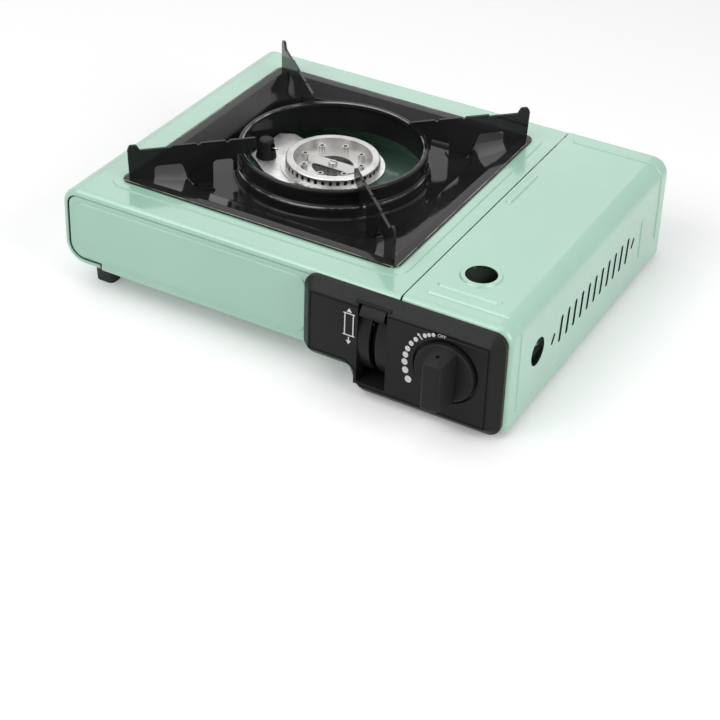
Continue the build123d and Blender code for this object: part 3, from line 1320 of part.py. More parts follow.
with BuildPart() as support_rivets:
    for turn in support_turns.values():
        across = Vector(cos(radians(turn + 90)), sin(radians(turn + 90)), 0)
        place = Vector(burner_x, burner_y, 0) + support_plane(turn).x_dir * rivet_reach + across * 6
        disc((place.X, place.Y), rivet_radius, (tray_floor + 1.5, tray_floor + 2.7))
        disc((place.X, place.Y), rivet_radius - 0.6, (tray_floor - tray_sheet, tray_floor + 2))
support_rivets.part.label = "support_rivets"
export_step(support_rivets.part, "parts/support_rivets.step")
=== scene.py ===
from math import cos, pi, radians, sin

import bmesh
import bpy
import numpy as np
from mathutils import Matrix, Vector


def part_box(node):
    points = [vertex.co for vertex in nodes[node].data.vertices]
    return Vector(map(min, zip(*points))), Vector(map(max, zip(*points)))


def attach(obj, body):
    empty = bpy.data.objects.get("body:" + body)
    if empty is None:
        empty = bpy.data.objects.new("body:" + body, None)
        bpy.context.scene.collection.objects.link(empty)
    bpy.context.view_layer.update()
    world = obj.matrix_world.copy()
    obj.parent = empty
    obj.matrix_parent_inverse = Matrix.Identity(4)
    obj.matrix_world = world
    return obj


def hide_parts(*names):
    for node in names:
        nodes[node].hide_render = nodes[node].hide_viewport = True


bl_info = {
    "name": "Cassette Stove",
    "version": (1, 0, 0),
    "blender": (4, 5, 0),
    "location": "3D View > Sidebar > Stove",
    "description": "Finishes, pressed sheet pieces, printed marks and a studio for a portable gas stove",
    "category": "Object",
}

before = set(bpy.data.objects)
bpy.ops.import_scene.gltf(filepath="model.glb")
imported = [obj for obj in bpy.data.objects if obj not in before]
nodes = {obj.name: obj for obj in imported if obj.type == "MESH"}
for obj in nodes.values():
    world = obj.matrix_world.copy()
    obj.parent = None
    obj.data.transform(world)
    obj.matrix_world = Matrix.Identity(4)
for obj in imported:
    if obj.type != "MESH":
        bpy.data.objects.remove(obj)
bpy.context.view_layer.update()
MM = 0.001


def node_box(name):
    """Lowest and highest corner of a CAD node, in millimetres."""
    low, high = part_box(name)
    return np.array(low) / MM, np.array(high) / MM


tray_low, tray_high = node_box("drip_tray")
head_low, head_high = node_box("burner_head")
burner_x = float(head_low[0] + head_high[0]) / 2
burner_y = float(head_low[1] + head_high[1]) / 2
panel_low = node_box("control_panel")[0]
knob_low, knob_high = node_box("knob")
knob_x = float(knob_low[0] + knob_high[0]) / 2
knob_z = float(knob_low[2] + knob_high[2]) / 2
lid_low, lid_high = node_box("lid")
cover_low = node_box("top_cover")[0]
collar_low, collar_high = node_box("flame_collar")


# ---------------------------------------------------------------- properties
def colour(name, description, value):
    """A colour that a user can change."""
    return bpy.props.FloatVectorProperty(name=name, description=description, subtype="COLOR", size=3,
                                         min=0.0, max=1.0, default=value)


def length(name, description, value):
    """A size that a user can change, given in millimetres and kept in metres."""
    return bpy.props.FloatProperty(name=name, description=description, subtype="DISTANCE",
                                   unit="LENGTH", default=value * MM)


class StoveColours(bpy.types.PropertyGroup):
    """Colours of the stove's finishes"""
    enamel: colour("Enamel", "Paint of the body and the lid", (0.350, 0.585, 0.460))
    black: colour("Black enamel", "Glossy enamel of the tray, collar and pan supports",
                  (0.013, 0.0135, 0.013))
    plastic: colour("Plastic", "Moulded control panel, knob and lever", (0.0125, 0.0128, 0.0128))
    casting: colour("Casting", "Cast aluminium of the burner's head", (0.56, 0.555, 0.54))
    polished: colour("Bright casting", "Tumbled aluminium of the burner's mixing tube", (0.76, 0.76, 0.75))
    steel: colour("Steel", "Plated steel of brackets, screws and rods", (0.46, 0.46, 0.455))
    brass: colour("Brass", "Turned nozzle", (0.70, 0.47, 0.20))
    rubber: colour("Rubber", "Feet and seal", (0.020, 0.020, 0.021))
    ceramic: colour("Ceramic", "Igniter's insulator", (0.80, 0.78, 0.72))
    print_ink: colour("Print", "Marks printed on the panel", (0.66, 0.67, 0.66))
    floor: colour("Floor", "Studio floor", (0.90, 0.90, 0.90))


class StoveSizes(bpy.types.PropertyGroup):
    """Sizes of the pressed pieces and of the printed marks"""
    rim_width: length("Rim", "Width of the tray's rolled rim", 8.0)
    margin_width: length("Border", "Width of the tray's sloping border", 17.0)
    margin_drop: length("Border drop", "How far the border slopes down", 4.5)
    well_corner: length("Well corner", "Corner radius of the tray's well", 30.0)
    collar_radius: length("Collar", "Outer radius of the ring round the burner", 68.0)
    collar_bore: length("Collar bore", "Inner radius of that ring's rolled top", 64.0)
    hub_height: length("Hub", "Height of the tray's hub above its floor", 8.0)
    dial_radius: length("Dial", "Distance of the first dot from the knob's axis", 26.2)
    dial_growth: length("Dial growth", "How much further out the last dot lies than the first", 4.0)
    lid_hole_side: length("Lid hole", "Lid hole's axis from the lid's side", 46.2)
    lid_hole_front: length("Lid hole, front", "Lid hole's axis from the lid's front edge", 49.3)
    lid_hole_radius: length("Lid hole radius", "Radius of the hole in the lid", 10.8)
    lid_side_bead: length("Side bead", "How far the beads stand out of the lid's side", 0.7)
    lid_top_bead: length("Top bead", "How far the beads stand up from the lid's top", 1.2)
    symbol_side: length("Symbol", "Distance of the cartridge symbol from the panel's left edge", 37.4)
    symbol_middle: length("Symbol middle", "Height of that symbol's middle above the table", 54.7)
    symbol_width: length("Symbol width", "Width of the cartridge symbol's wall", 7.0)
    symbol_height: length("Symbol height", "Height of the cartridge symbol", 17.4)
    land_rise: length("Land", "How far the panel stands out round the knob", 0.8)


# ---------------------------------------------------------------- fixed sizes
# lengths in millimetres, directions in degrees anticlockwise from the right
TRAY_SHEET = 1.0  # sheet of the drip tray
RIM_CORNER = 7.0  # corner radius of the tray's rim
WELL_STEP = 3.0  # width of the steep step from the tray's border down to its floor
COLLAR_ROLL = 0.75  # how far the collar's rolled top stands out of its wall
INK_THICKNESS = 0.05  # how far a printed mark stands out
SYMBOL_LINE = 0.8  # width of the cartridge symbol's lines
OFF_HEIGHT = 3.3  # size of the word OFF
OFF_SIDE, OFF_UP = -3.9, -1.1  # place of that word, from the top of the first dot's circle
# the dial's dots: direction from the knob's axis, and height
DIAL_DOTS = np.array([(112.0, 2.9), (119.0, 2.9), (126.0, 3.3), (143.0, 3.5), (153.5, 3.8),
                      (164.5, 4.1), (175.0, 4.5), (186.0, 4.8), (198.0, 5.0), (211.0, 5.2)])
DOT_WIDTH = 0.90  # of its height
START_DIRECTION = 134.0  # of the dial's start mark
START_FURTHER = 1.3  # how much further out than the first dot that mark lies
# outlines of the start mark and of the cartridge symbol's two arrows, as (across, up)
START_MARK = np.array([(-0.45, -2.6), (0.45, -2.6), (0.45, 1.0), (1.3, 1.0), (0, 2.8), (-1.3, 1.0),
                       (-0.45, 1.0)])
ARROW_UP = np.array([(-1.9, 0.8), (1.9, 0.8), (0, 3.8)])
ARROW_DOWN = np.array([(-0.4, -0.8), (-0.4, -3.6), (-1.9, -3.6), (0, -6.6), (1.9, -3.6), (0.4, -3.6),
                       (0.4, -0.8)])


# ---------------------------------------------------------------- mesh helpers
def make_piece(name, points, faces, body, smooth_angle):
    """One mesh object at the origin from points in millimetres, riding on a body."""
    mesh = bpy.data.meshes.new(name)
    mesh.from_pydata((np.asarray(points) * MM).tolist(), [], [list(map(int, face)) for face in faces])
    mesh.validate()
    mesh.polygons.foreach_set("use_smooth", np.ones(len(mesh.polygons), bool))
    mesh.set_sharp_from_angle(angle=radians(smooth_angle))
    mesh.update()
    piece = bpy.data.objects.new(name, mesh)
    bpy.context.scene.collection.objects.link(piece)
    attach(piece, body)
    return piece


def wrap_faces(rows, columns, close_rows=False):
    """Quads of a grid of points, row by row.  Its columns close on themselves, and its rows where asked."""
    row = np.arange(rows if close_rows else rows - 1)[:, None]
    column = np.arange(columns)[None, :]
    next_row = (row + 1) % rows
    next_column = (column + 1) % columns
    quads = np.stack([row * columns + column, row * columns + next_column,
                      next_row * columns + next_column, next_row * columns + column], axis=-1)
    return quads.reshape(-1, 4)


def rounded_path(points, radii, steps):
    """Open or closed profile with rounded corners: each inner corner becomes an arc of its radius,
    cut short where the runs beside it are too short.  Points and results are (offset, height)."""
    points = [np.array(point, float) for point in points]
    result = [points[0]]
    for before, corner, after, radius in zip(points[:-2], points[1:-1], points[2:], radii):
        back, ahead = before - corner, after - corner
        back_length, ahead_length = np.linalg.norm(back), np.linalg.norm(ahead)
        back, ahead = back / back_length, ahead / ahead_length
        half_angle = np.arccos(np.clip(back @ ahead, -1, 1)) / 2
        reach = min(radius / np.tan(half_angle), 0.48 * back_length, 0.48 * ahead_length)
        start, end = corner + back * reach, corner + ahead * reach
        share = np.linspace(0, 1, steps)[:, None]
        # a quadratic curve through the corner's two tangent points
        result.extend(((1 - share) ** 2 * start + 2 * share * (1 - share) * corner + share ** 2 * end))
    result.append(points[-1])
    return np.array(result)


def corner_angles(half_width, half_depth, corner, per_corner=12, per_side=30):
    """Directions in which a rounded rectangle is sampled: evenly round each corner arc and along each
    straight side, so that both are followed closely.  Result in radians from +X, rising."""
    signs = np.array([(1, 1), (-1, 1), (-1, -1), (1, -1)], float)
    centres = signs * (half_width - corner, half_depth - corner)
    sweep = np.linspace(0, pi / 2, per_corner)[None, :] + np.arange(4)[:, None] * pi / 2
    arcs = centres[:, None, :] + corner * np.stack([np.cos(sweep), np.sin(sweep)], -1)
    ends, starts = arcs[:, -1:, :], np.roll(arcs[:, :1, :], -1, axis=0)
    share = np.linspace(0, 1, per_side + 2)[None, 1:-1, None]
    outline = np.concatenate([arcs, ends + (starts - ends) * share], axis=1).reshape(-1, 2)
    return np.arctan2(outline[:, 1], outline[:, 0])


def rectangle_reach(angles, half_width, half_depth, corner):
    """Distance from the middle to a rounded rectangle in each direction.  Each row of sizes gives a
    row of distances; a ray meets a straight side or, near a diagonal, the corner's circle."""
    half_width, half_depth, corner = (np.asarray(value, float)[:, None] for value in
                                      (half_width, half_depth, corner))
    across, along = np.abs(np.cos(angles))[None, :], np.abs(np.sin(angles))[None, :]
    to_side = half_width / np.maximum(across, 1e-9)
    to_end = half_depth / np.maximum(along, 1e-9)
    centre_x, centre_y = half_width - corner, half_depth - corner
    middle = across * centre_x + along * centre_y
    inside = middle ** 2 - centre_x ** 2 - centre_y ** 2 + corner ** 2
    to_arc = middle + np.sqrt(np.maximum(inside, 0))
    return np.where(to_side * along <= centre_y, to_side,
                    np.where(to_end * across <= centre_x, to_end, to_arc))


def revolved(profile, columns, centre):
    """Points and faces of a closed profile of (radius, height) carried once round an upright axis:
    x = radius cos a, y = radius sin a.  The profile runs up its outer side and down its inner one."""
    angle = np.linspace(0, 2 * pi, columns, endpoint=False)
    radius, height = profile[:, 0][:, None], profile[:, 1][:, None]
    points = np.stack([centre[0] + radius * np.cos(angle), centre[1] + radius * np.sin(angle),
                       height + 0 * angle], -1)
    return points.reshape(-1, 3), wrap_faces(len(profile), columns, close_rows=True)


def closed_path(points, radii, steps):
    """Closed profile with every corner rounded by its radius."""
    start = (np.array(points[-1], float) + points[0]) / 2
    ring = [tuple(start), *points, tuple(start)]
    return rounded_path(ring, radii, steps)[:-1]


def flat_marks(shapes, face_y):
    """Closed plates of the given outlines, each an array of (x, z), standing on the face at face_y.
    A plate is its outline carried forward by its thickness, with both ends filled."""
    points, faces, start = [], [], 0
    for outline in shapes:
        count = len(outline)
        back = np.stack([outline[:, 0], np.full(count, face_y), outline[:, 1]], -1)
        ahead = back - (0, INK_THICKNESS, 0)
        points += [ahead, back]
        ring = np.arange(count)
        after = np.roll(ring, -1)
        faces.append((ring + start).tolist())
        faces.append((ring[::-1] + start + count).tolist())
        faces += (np.stack([after, ring, ring + count, after + count], -1) + start).tolist()
        start += 2 * count
    return np.concatenate(points), faces


def oval(x, z, width, height, count=28):
    """Outline of an oval, anticlockwise as seen from the front."""
    angle = np.linspace(0, 2 * pi, count, endpoint=False)
    return np.stack([x + width / 2 * np.cos(angle), z + height / 2 * np.sin(angle)], -1)


def bar(left, right, low, high):
    """Outline of an upright rectangle."""
    return np.array([(left, low), (right, low), (right, high), (left, high)], float)


def turned(outline, centre, angle):
    """Outline turned anticlockwise about the origin and moved to a centre."""
    turn = np.array([[cos(angle), sin(angle)], [-sin(angle), cos(angle)]])
    return (np.asarray(outline, float) @ turn) + centre


# ---------------------------------------------------------------- material helpers
RING_PHASE = 9000.0  # radians that the sine of the turned rings runs through in a metre of radius


class Finish:
    """A node material: one Principled shader with whatever is joined to it."""

    def __init__(self, name, **constants):
        self.material = bpy.data.materials.new(name)
        self.material.use_nodes = True
        self.tree = self.material.node_tree
        self.tree.nodes.clear()
        output = self.tree.nodes.new("ShaderNodeOutputMaterial")
        self.shader = self.tree.nodes.new("ShaderNodeBsdfPrincipled")
        self.join(self.shader.outputs["BSDF"], output.inputs["Surface"])
        for socket, value in constants.items():
            self.shader.inputs[socket.replace("_", " ")].default_value = value
        self.place = self.tree.nodes.new("ShaderNodeTexCoord").outputs["Object"]
        self.height = None

    def join(self, source, target):
        """Links one socket to another."""
        self.tree.links.new(source, target)

    def noise(self, scale, detail, stretch=(1, 1, 1)):
        """Noise of the given scale per metre, stretched along the axes."""
        place = self.place
        if stretch != (1, 1, 1):
            mapping = self.tree.nodes.new("ShaderNodeMapping")
            mapping.inputs["Scale"].default_value = stretch
            self.join(place, mapping.inputs["Vector"])
            place = mapping.outputs["Vector"]
        node = self.tree.nodes.new("ShaderNodeTexNoise")
        node.inputs["Scale"].default_value = scale
        node.inputs["Detail"].default_value = detail
        node.inputs["Roughness"].default_value = 0.55
        self.join(place, node.inputs["Vector"])
        return node.outputs["Fac"]

    def ramp(self, source, low, high, start=0.35, end=0.65):
        """Maps a value between start and end to low and high."""
        node = self.tree.nodes.new("ShaderNodeMapRange")
        node.inputs["From Min"].default_value = start
        node.inputs["From Max"].default_value = end
        node.inputs["To Min"].default_value = low
        node.inputs["To Max"].default_value = high
        self.join(source, node.inputs["Value"])
        return node.outputs["Result"]

    def math(self, operation, first, second=0.0):
        """Result of a Math node on two values, each a socket or a number."""
        node = self.tree.nodes.new("ShaderNodeMath")
        node.operation = operation
        for socket, value in zip(node.inputs, (first, second)):
            if isinstance(value, (int, float)):
                socket.default_value = value
            else:
                self.join(value, socket)
        return node.outputs["Value"]

    def mix(self, factor, first, second):
        """Mix of two colours, each a socket or a triple."""
        node = self.tree.nodes.new("ShaderNodeMix")
        node.data_type = "RGBA"
        self.join(factor, node.inputs[0])
        # sockets 6 and 7 are the two colours, and output 2 the mixed one
        for socket, value in ((node.inputs[6], first), (node.inputs[7], second)):
            if isinstance(value, (tuple, list)):
                socket.default_value = (*value, 1)
            else:
                self.join(value, socket)
        return node.outputs[2]

    def both(self, *masks):
        """1 where all the given masks are 1: their product."""
        result = masks[0]
        for mask in masks[1:]:
            result = self.math("MULTIPLY", result, mask)
        return result

    def paint(self, source):
        """Joins a colour to the shader."""
        self.join(source, self.shader.inputs["Base Color"])

    def gloss(self, source):
        """Joins a roughness to the shader."""
        self.join(source, self.shader.inputs["Roughness"])

    def bump(self, source, strength, distance):
        """Adds a bump of the given depth in millimetres over those already there."""
        node = self.tree.nodes.new("ShaderNodeBump")
        node.inputs["Strength"].default_value = strength
        node.inputs["Distance"].default_value = distance * MM
        self.join(source, node.inputs["Height"])
        if self.height is not None:
            self.join(self.height, node.inputs["Normal"])
        self.height = node.outputs["Normal"]
        self.join(self.height, self.shader.inputs["Normal"])

    def radius_from(self, x, y):
        """Distance from an upright axis, in metres: the root of the sum of both squared offsets."""
        east = self.math("SUBTRACT", self.axis("X"), x * MM)
        north = self.math("SUBTRACT", self.axis("Y"), y * MM)
        square = self.math("ADD", self.math("MULTIPLY", east, east), self.math("MULTIPLY", north, north))
        return self.math("SQRT", square)

    def axis(self, letter):
        """One Object coordinate, in metres."""
        split = self.tree.nodes.new("ShaderNodeSeparateXYZ")
        self.join(self.place, split.inputs["Vector"])
        return split.outputs[letter]

    def between(self, source, low, high):
        """1 where a length lies between two values in millimetres, else 0."""
        return self.both(self.math("GREATER_THAN", source, low * MM),
                         self.math("LESS_THAN", source, high * MM))

    def cloudy(self, scale, detail, tint, dark, light):
        """A tint that drifts with a noise from dark to light, each a share of it."""
        return self.mix(self.ramp(self.noise(scale, detail), 0, 1), shade(tint, dark), shade(tint, light))


def shade(colour_value, factor):
    """A colour made darker or lighter."""
    return tuple(channel * factor for channel in colour_value)


def dress(material, *names):
    """Gives CAD nodes their material."""
    for name in names:
        node = nodes[name]
        if not node.material_slots:
            node.data.materials.append(material)
        for slot in node.material_slots:
            slot.material = material


def vent_and_hole_shade(finish, size):
    """1 on the cut edges of the lid's vents and hole, where painted shade goes, else 0.  The vents' edges
    lie inside the side's sheet, in a long low band; the hole's lie within its radius, near the top."""
    sheet, skin = 1.3, 0.04  # the vents' edges lie between these depths under the side's face
    low, high, ahead, behind = 22, 58, 20, 160  # the band, by height and by reach from the hole's axis
    side = float(lid_high[0]) - size.lid_side_bead / MM
    top = float(lid_high[2]) - size.lid_top_bead / MM
    hole = (side - size.lid_hole_side / MM, float(lid_low[1]) + size.lid_hole_front / MM)
    vents = finish.both(finish.between(finish.axis("X"), side - sheet, side - skin),
                        finish.between(finish.axis("Z"), low, high),
                        finish.between(finish.axis("Y"), hole[1] - ahead, hole[1] + behind))
    bore = finish.both(finish.math("GREATER_THAN", finish.axis("Z"), (top - 3) * MM),
                       finish.math("LESS_THAN", finish.radius_from(*hole), size.lid_hole_radius + 0.05 * MM))
    return finish.math("MAXIMUM", vents, bore)


def enamel_finish(tint, size):
    """Glossy sprayed enamel with a faint orange peel and a few darker specks.  The cut edges of the lid's
    vents and hole carry painted shade, a near black."""
    finish = Finish("mint_enamel", Coat_Weight=0.8, Coat_Roughness=0.10, Specular_IOR_Level=0.5)
    base = finish.cloudy(9, 2, tint, 0.97, 1.03)
    specks = finish.ramp(finish.noise(1400, 1), 0, 0.05, 0.60, 0.72)
    base = finish.mix(specks, base, shade(tint, 0.72))
    # painted shade: the cut edges of the vents and the hole are painted near black, 0.05 of the enamel
    finish.paint(finish.mix(vent_and_hole_shade(finish, size), base, shade(tint, 0.05)))
    finish.gloss(finish.ramp(finish.noise(60, 4), 0.30, 0.38))
    finish.bump(finish.noise(420, 2), 0.10, 0.03)
    finish.bump(finish.noise(28, 2), 0.12, 0.18)
    return finish.material


def black_enamel_finish(tint, name="black_enamel", edge=None):
    """Deep black glass enamel whose gloss ripples slightly.  edge, a function that gives 1 on a rolled
    edge, puts a painted highlight there: a grey broken into patches."""
    finish = Finish(name, IOR=1.25, Coat_Weight=0.0, Specular_IOR_Level=0.5)
    ground = finish.cloudy(14, 3, tint, 0.8, 1.5)
    if edge:
        # painted highlight: a grey, 0.34, in patches along the rolled edges
        patches = finish.ramp(finish.noise(48, 3), 0.05, 1.0, 0.40, 0.60)
        ground = finish.mix(finish.both(edge(finish), patches), ground, (0.34, 0.35, 0.34))
    finish.paint(ground)
    finish.gloss(finish.ramp(finish.noise(130, 4), 0.05, 0.12))
    finish.bump(finish.noise(300, 2), 0.10, 0.05)
    finish.bump(finish.noise(24, 2), 0.30, 0.5)
    return finish.material


def plastic_finish(tint):
    """Dark moulded plastic with a fine spark-eroded grain."""
    finish = Finish("dark_plastic", IOR=1.24, Specular_IOR_Level=0.5)
    finish.paint(finish.cloudy(22, 3, tint, 0.93, 1.08))
    finish.gloss(finish.ramp(finish.noise(900, 2), 0.37, 0.50))
    finish.bump(finish.noise(2600, 2), 0.22, 0.03)
    finish.bump(finish.noise(45, 2), 0.10, 0.10)
    return finish.material


def casting_finish(tint, name="cast_aluminium", turned_rings=True):
    """Cast aluminium with a fine grain.  A piece turned on a lathe has faint rings, a sine of the
    distance from the burner's axis, and painted shade, a near black, on the floors of the flame slots round
    its rim."""
    finish = Finish(name, Metallic=1.0)
    grain = finish.noise(1100, 3)
    ground = finish.cloudy(70, 4, tint, 0.80, 1.08)
    if turned_rings:
        radius = finish.radius_from(burner_x, burner_y)
        rim, top = float(head_high[0] - head_low[0]) / 2, float(head_high[2])
        # painted shade: the floors of the flame slots round the rim are painted near black, 0.06 of the
        # casting
        slots = finish.both(finish.between(radius, rim - 3.0, rim - 1.5),
                            finish.between(finish.axis("Z"), top - 9.0, top - 1.4))
        ground = finish.mix(slots, ground, shade(tint, 0.06))
    finish.paint(ground)
    finish.gloss(finish.ramp(grain, 0.34, 0.50))
    finish.bump(grain, 0.25, 0.06)
    if turned_rings:
        finish.bump(finish.math("SINE", finish.math("MULTIPLY", radius, RING_PHASE)), 0.10, 0.02)
    return finish.material


def steel_finish(tint):
    """Plated steel, brushed along X."""
    finish = Finish("bright_steel", Metallic=1.0)
    brushed = finish.noise(90, 3, stretch=(1, 18, 18))
    finish.paint(finish.mix(finish.ramp(brushed, 0, 1), shade(tint, 0.85), shade(tint, 1.06)))
    finish.gloss(finish.ramp(brushed, 0.28, 0.42))
    finish.bump(brushed, 0.12, 0.03)
    return finish.material


def plain_finish(name, tint, roughness, metallic=0.0, grain=800):
    """Any other finish: a slightly cloudy colour with a fine grain in its gloss and surface."""
    finish = Finish(name, Metallic=metallic)
    finish.paint(finish.cloudy(40, 3, tint, 0.92, 1.06))
    finish.gloss(finish.ramp(finish.noise(grain, 2), roughness - 0.05, roughness + 0.06))
    finish.bump(finish.noise(grain, 2), 0.18, 0.04)
    return finish.material


# ---------------------------------------------------------------- operators
class STOVE_OT_paint_body(bpy.types.Operator):
    """Mint enamel on the pressed steel body, lid and chassis"""
    bl_idname = "stove.paint_body"
    bl_label = "Paint body"

    def execute(self, context):
        scene = context.scene
        dress(enamel_finish(scene.stove_colours.enamel, scene.stove_sizes), "top_cover", "front_panel",
              "back_panel", "lid", "base_plate", "bay_pan", "front_bulkhead", "rear_bulkhead")
        return {"FINISHED"}


class STOVE_OT_paint_plastic(bpy.types.Operator):
    """Moulded plastic of the control panel, knob, lever, igniter and feet"""
    bl_idname = "stove.paint_plastic"
    bl_label = "Finish plastic and rubber"

    def execute(self, context):
        colours = context.scene.stove_colours
        dress(plastic_finish(colours.plastic), "control_panel", "knob", "lock_lever", "igniter_cover")
        dress(plain_finish("rubber", colours.rubber, 0.72), "tall_feet", "short_feet", "seat_seal")
        dress(plain_finish("pale_plastic", colours.ceramic, 0.45), "piezo_igniter", "piezo_plunger",
              "ignition_cam")
        dress(plain_finish("ceramic", colours.ceramic, 0.35, grain=1500), "igniter_insulator")
        return {"FINISHED"}


class STOVE_OT_paint_metal(bpy.types.Operator):
    """Cast, plated and turned metal pieces"""
    bl_idname = "stove.paint_metal"
    bl_label = "Finish metal"

    def execute(self, context):
        colours = context.scene.stove_colours
        dress(casting_finish(colours.casting), "burner_head", "burner_ports")
        dress(casting_finish(colours.polished, "bright_aluminium", turned_rings=False), "burner_body")
        dress(casting_finish(colours.casting, "plain_aluminium", turned_rings=False), "regulator_body")
        dress(steel_finish(colours.steel), "burner_bar", "burner_screw", "burner_stand", "mixer_bracket",
              "heat_shield", "bay_guide", "cartridge_cradle", "lid_hinge_ears", "hinge_pins",
              "lever_bracket", "lever_pin", "pusher_rod", "pusher_plate", "rod_guides", "panel_screws",
              "regulator_screws", "foot_screws", "valve_spindle", "igniter_electrode", "gas_pipe")
        dress(plain_finish("brass", colours.brass, 0.30, metallic=1.0), "gas_nozzle")
        return {"FINISHED"}


class STOVE_OT_paint_enamel(bpy.types.Operator):
    """Glossy black enamel on the tray, collar and pan supports"""
    bl_idname = "stove.paint_enamel"
    bl_label = "Enamel tray and supports"

    def execute(self, context):
        dress(black_enamel_finish(context.scene.stove_colours.black), "drip_tray", "flame_collar",
              "support_rivets", "pan_support_front_left", "pan_support_front_right",
              "pan_support_back_left", "pan_support_back_right")
        return {"FINISHED"}


class STOVE_OT_press_tray(bpy.types.Operator):
    """Drip tray pressed from one sheet: rolled rim, sloping border, rounded well and upright hub.
    Nested rounded rectangles, pulled in and lowered row by row, turn into circles at the hub"""
    bl_idname = "stove.press_tray"
    bl_label = "Press drip tray"

    def execute(self, context):
        size = context.scene.stove_sizes
        rim, margin, drop = size.rim_width / MM, size.margin_width / MM, size.margin_drop / MM
        border = rim + margin
        well = border + WELL_STEP
        top, bottom = float(tray_high[2]), float(tray_low[2])
        floor = bottom + TRAY_SHEET
        hub_top = floor + size.hub_height / MM
        # the hub's bore leaves 0.1 mm round the collar's wall
        hub = size.collar_radius / MM - COLLAR_ROLL + 0.1
        # upper and lower side of the sheet, as (inset from the tray's edge, height)
        upper = rounded_path([(0.05, top - 0.7), (0.0, top), (rim, top), (border, top - drop),
                              (well, floor), (well + 4, floor)], [0.9, 3.5, 4.0, 4.0], 7)
        lower = rounded_path([(well + 4, bottom), (well - 0.6, bottom), (border - 0.9, top - drop - 0.9),
                              (rim - 0.3, top - 1.1), (0.4, top - 1.15), (0.05, top - 0.7)],
                             [4.0, 4.0, 3.5, 0.3], 7)[:-1]
        # section of the hub, as (distance from the burner's axis, height)
        ring = rounded_path([(hub + 7.95, floor), (hub + 1.95, floor), (hub + 1.75, hub_top), (hub, hub_top),
                             (hub, bottom), (hub + 7.95, bottom)], [3.0, 0.9, 0.9, 0.6], 8)
        # a circle is a rounded rectangle whose half width, half depth and corner radius are all the same
        circles = np.stack([ring[:, 0]] * 3 + [ring[:, 1]])
        wide, deep, corner, height = np.concatenate([self.rectangles(upper, border, size), circles,
                                                     self.rectangles(lower, border, size)], axis=1)
        half_width, half_depth = (tray_high - tray_low)[:2] / 2
        middle = ((tray_low + tray_high) / 2)[:2]
        angles = corner_angles(half_width - rim, half_depth - rim, corner=9.0)
        reach = rectangle_reach(angles, wide, deep, corner)
        points = np.stack([middle[0] + reach * np.cos(angles), middle[1] + reach * np.sin(angles),
                           np.repeat(height[:, None], len(angles), axis=1)], -1)
        tray = make_piece("pressed_tray", points.reshape(-1, 3),
                          wrap_faces(len(height), len(angles), close_rows=True), "tray", 50)

        def rim_highlight_line(finish):
            """1 on a hair line along the crest of the rolled rim, a little inside the tray's edge, where a
            highlight is painted.
            """
            def past_edge(letter, place, half):
                """How far beyond the tray's edge a point lies along one axis."""
                off_middle = finish.math("SUBTRACT", finish.axis(letter), float(place) * MM)
                return finish.math("SUBTRACT", finish.math("ABSOLUTE", off_middle), float(half) * MM)

            past = finish.math("MAXIMUM", past_edge("X", middle[0], half_width),
                               past_edge("Y", middle[1], half_depth))
            return finish.between(past, -1.35, -0.75)

        tray.data.materials.append(black_enamel_finish(context.scene.stove_colours.black, "tray_enamel",
                                                       rim_highlight_line))
        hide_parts("drip_tray")
        return {"FINISHED"}

    def rectangles(self, path, border, size):
        """Half width, half depth, corner radius and height of the rounded rectangle at each point of a
        path of (inset, height).  The corners are tight at the rim, widen over the border and tighten
        again down the well."""
        inset, height = path.T
        half_width, half_depth = (tray_high - tray_low)[:2] / 2
        well_corner = size.well_corner / MM
        corner = np.interp(inset, [size.rim_width / MM, border, border + WELL_STEP, border + 2 * WELL_STEP],
                           [RIM_CORNER, well_corner, well_corner - WELL_STEP, well_corner - 2 * WELL_STEP])
        return np.stack([half_width - inset, half_depth - inset, corner, height])


class STOVE_OT_roll_collar(bpy.types.Operator):
    """Ring collar round the burner: a thin wall with a rolled top and a flared foot, its section
    carried round the burner's axis"""
    bl_idname = "stove.roll_collar"
    bl_label = "Roll collar"

    def execute(self, context):
        size = context.scene.stove_sizes
        outer, bore = size.collar_radius / MM, size.collar_bore / MM
        wall = outer - COLLAR_ROLL
        top, foot = float(collar_high[2]), float(collar_low[2])
        rest = float(tray_low[2]) + TRAY_SHEET + size.hub_height / MM
        section = closed_path(
            [(wall, foot), (wall, rest + 0.02), (outer + 1.2, rest + 0.02), (outer + 1.3, rest + 1.1),
             (wall + 0.1, rest + 2.6), (wall + 0.1, top - 4.6), (outer, top - 3.2), (outer, top),
             (bore, top), (bore, top - 3.4), (wall - 1.1, top - 4.6), (wall - 1.1, foot)],
            [0.2, 0.2, 0.5, 0.5, 1.5, 0.8, 1.2, 1.9, 1.9, 1.2, 0.8, 0.2], 6)
        points, faces = revolved(section, 160, (burner_x, burner_y))
        collar = make_piece("ring_collar", points, faces, "tray", 40)

        def collar_highlight_lines(finish):
            """1 on hair lines along the inner crest of the rolled top and the lip of the flared foot, where
            highlights are painted.
            """
            radius, height = finish.radius_from(burner_x, burner_y), finish.axis("Z")
            crest = finish.both(finish.between(radius, bore + 0.3, bore + 1.15),
                                finish.between(height, top - 1.6, top + 1.0))
            lip = finish.both(finish.between(radius, outer + 0.75, outer + 2.0),
                              finish.between(height, rest + 0.3, rest + 1.6))
            return finish.math("MAXIMUM", crest, lip)

        collar.data.materials.append(black_enamel_finish(context.scene.stove_colours.black, "collar_enamel",
                                                         collar_highlight_lines))
        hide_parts("flame_collar")
        return {"FINISHED"}


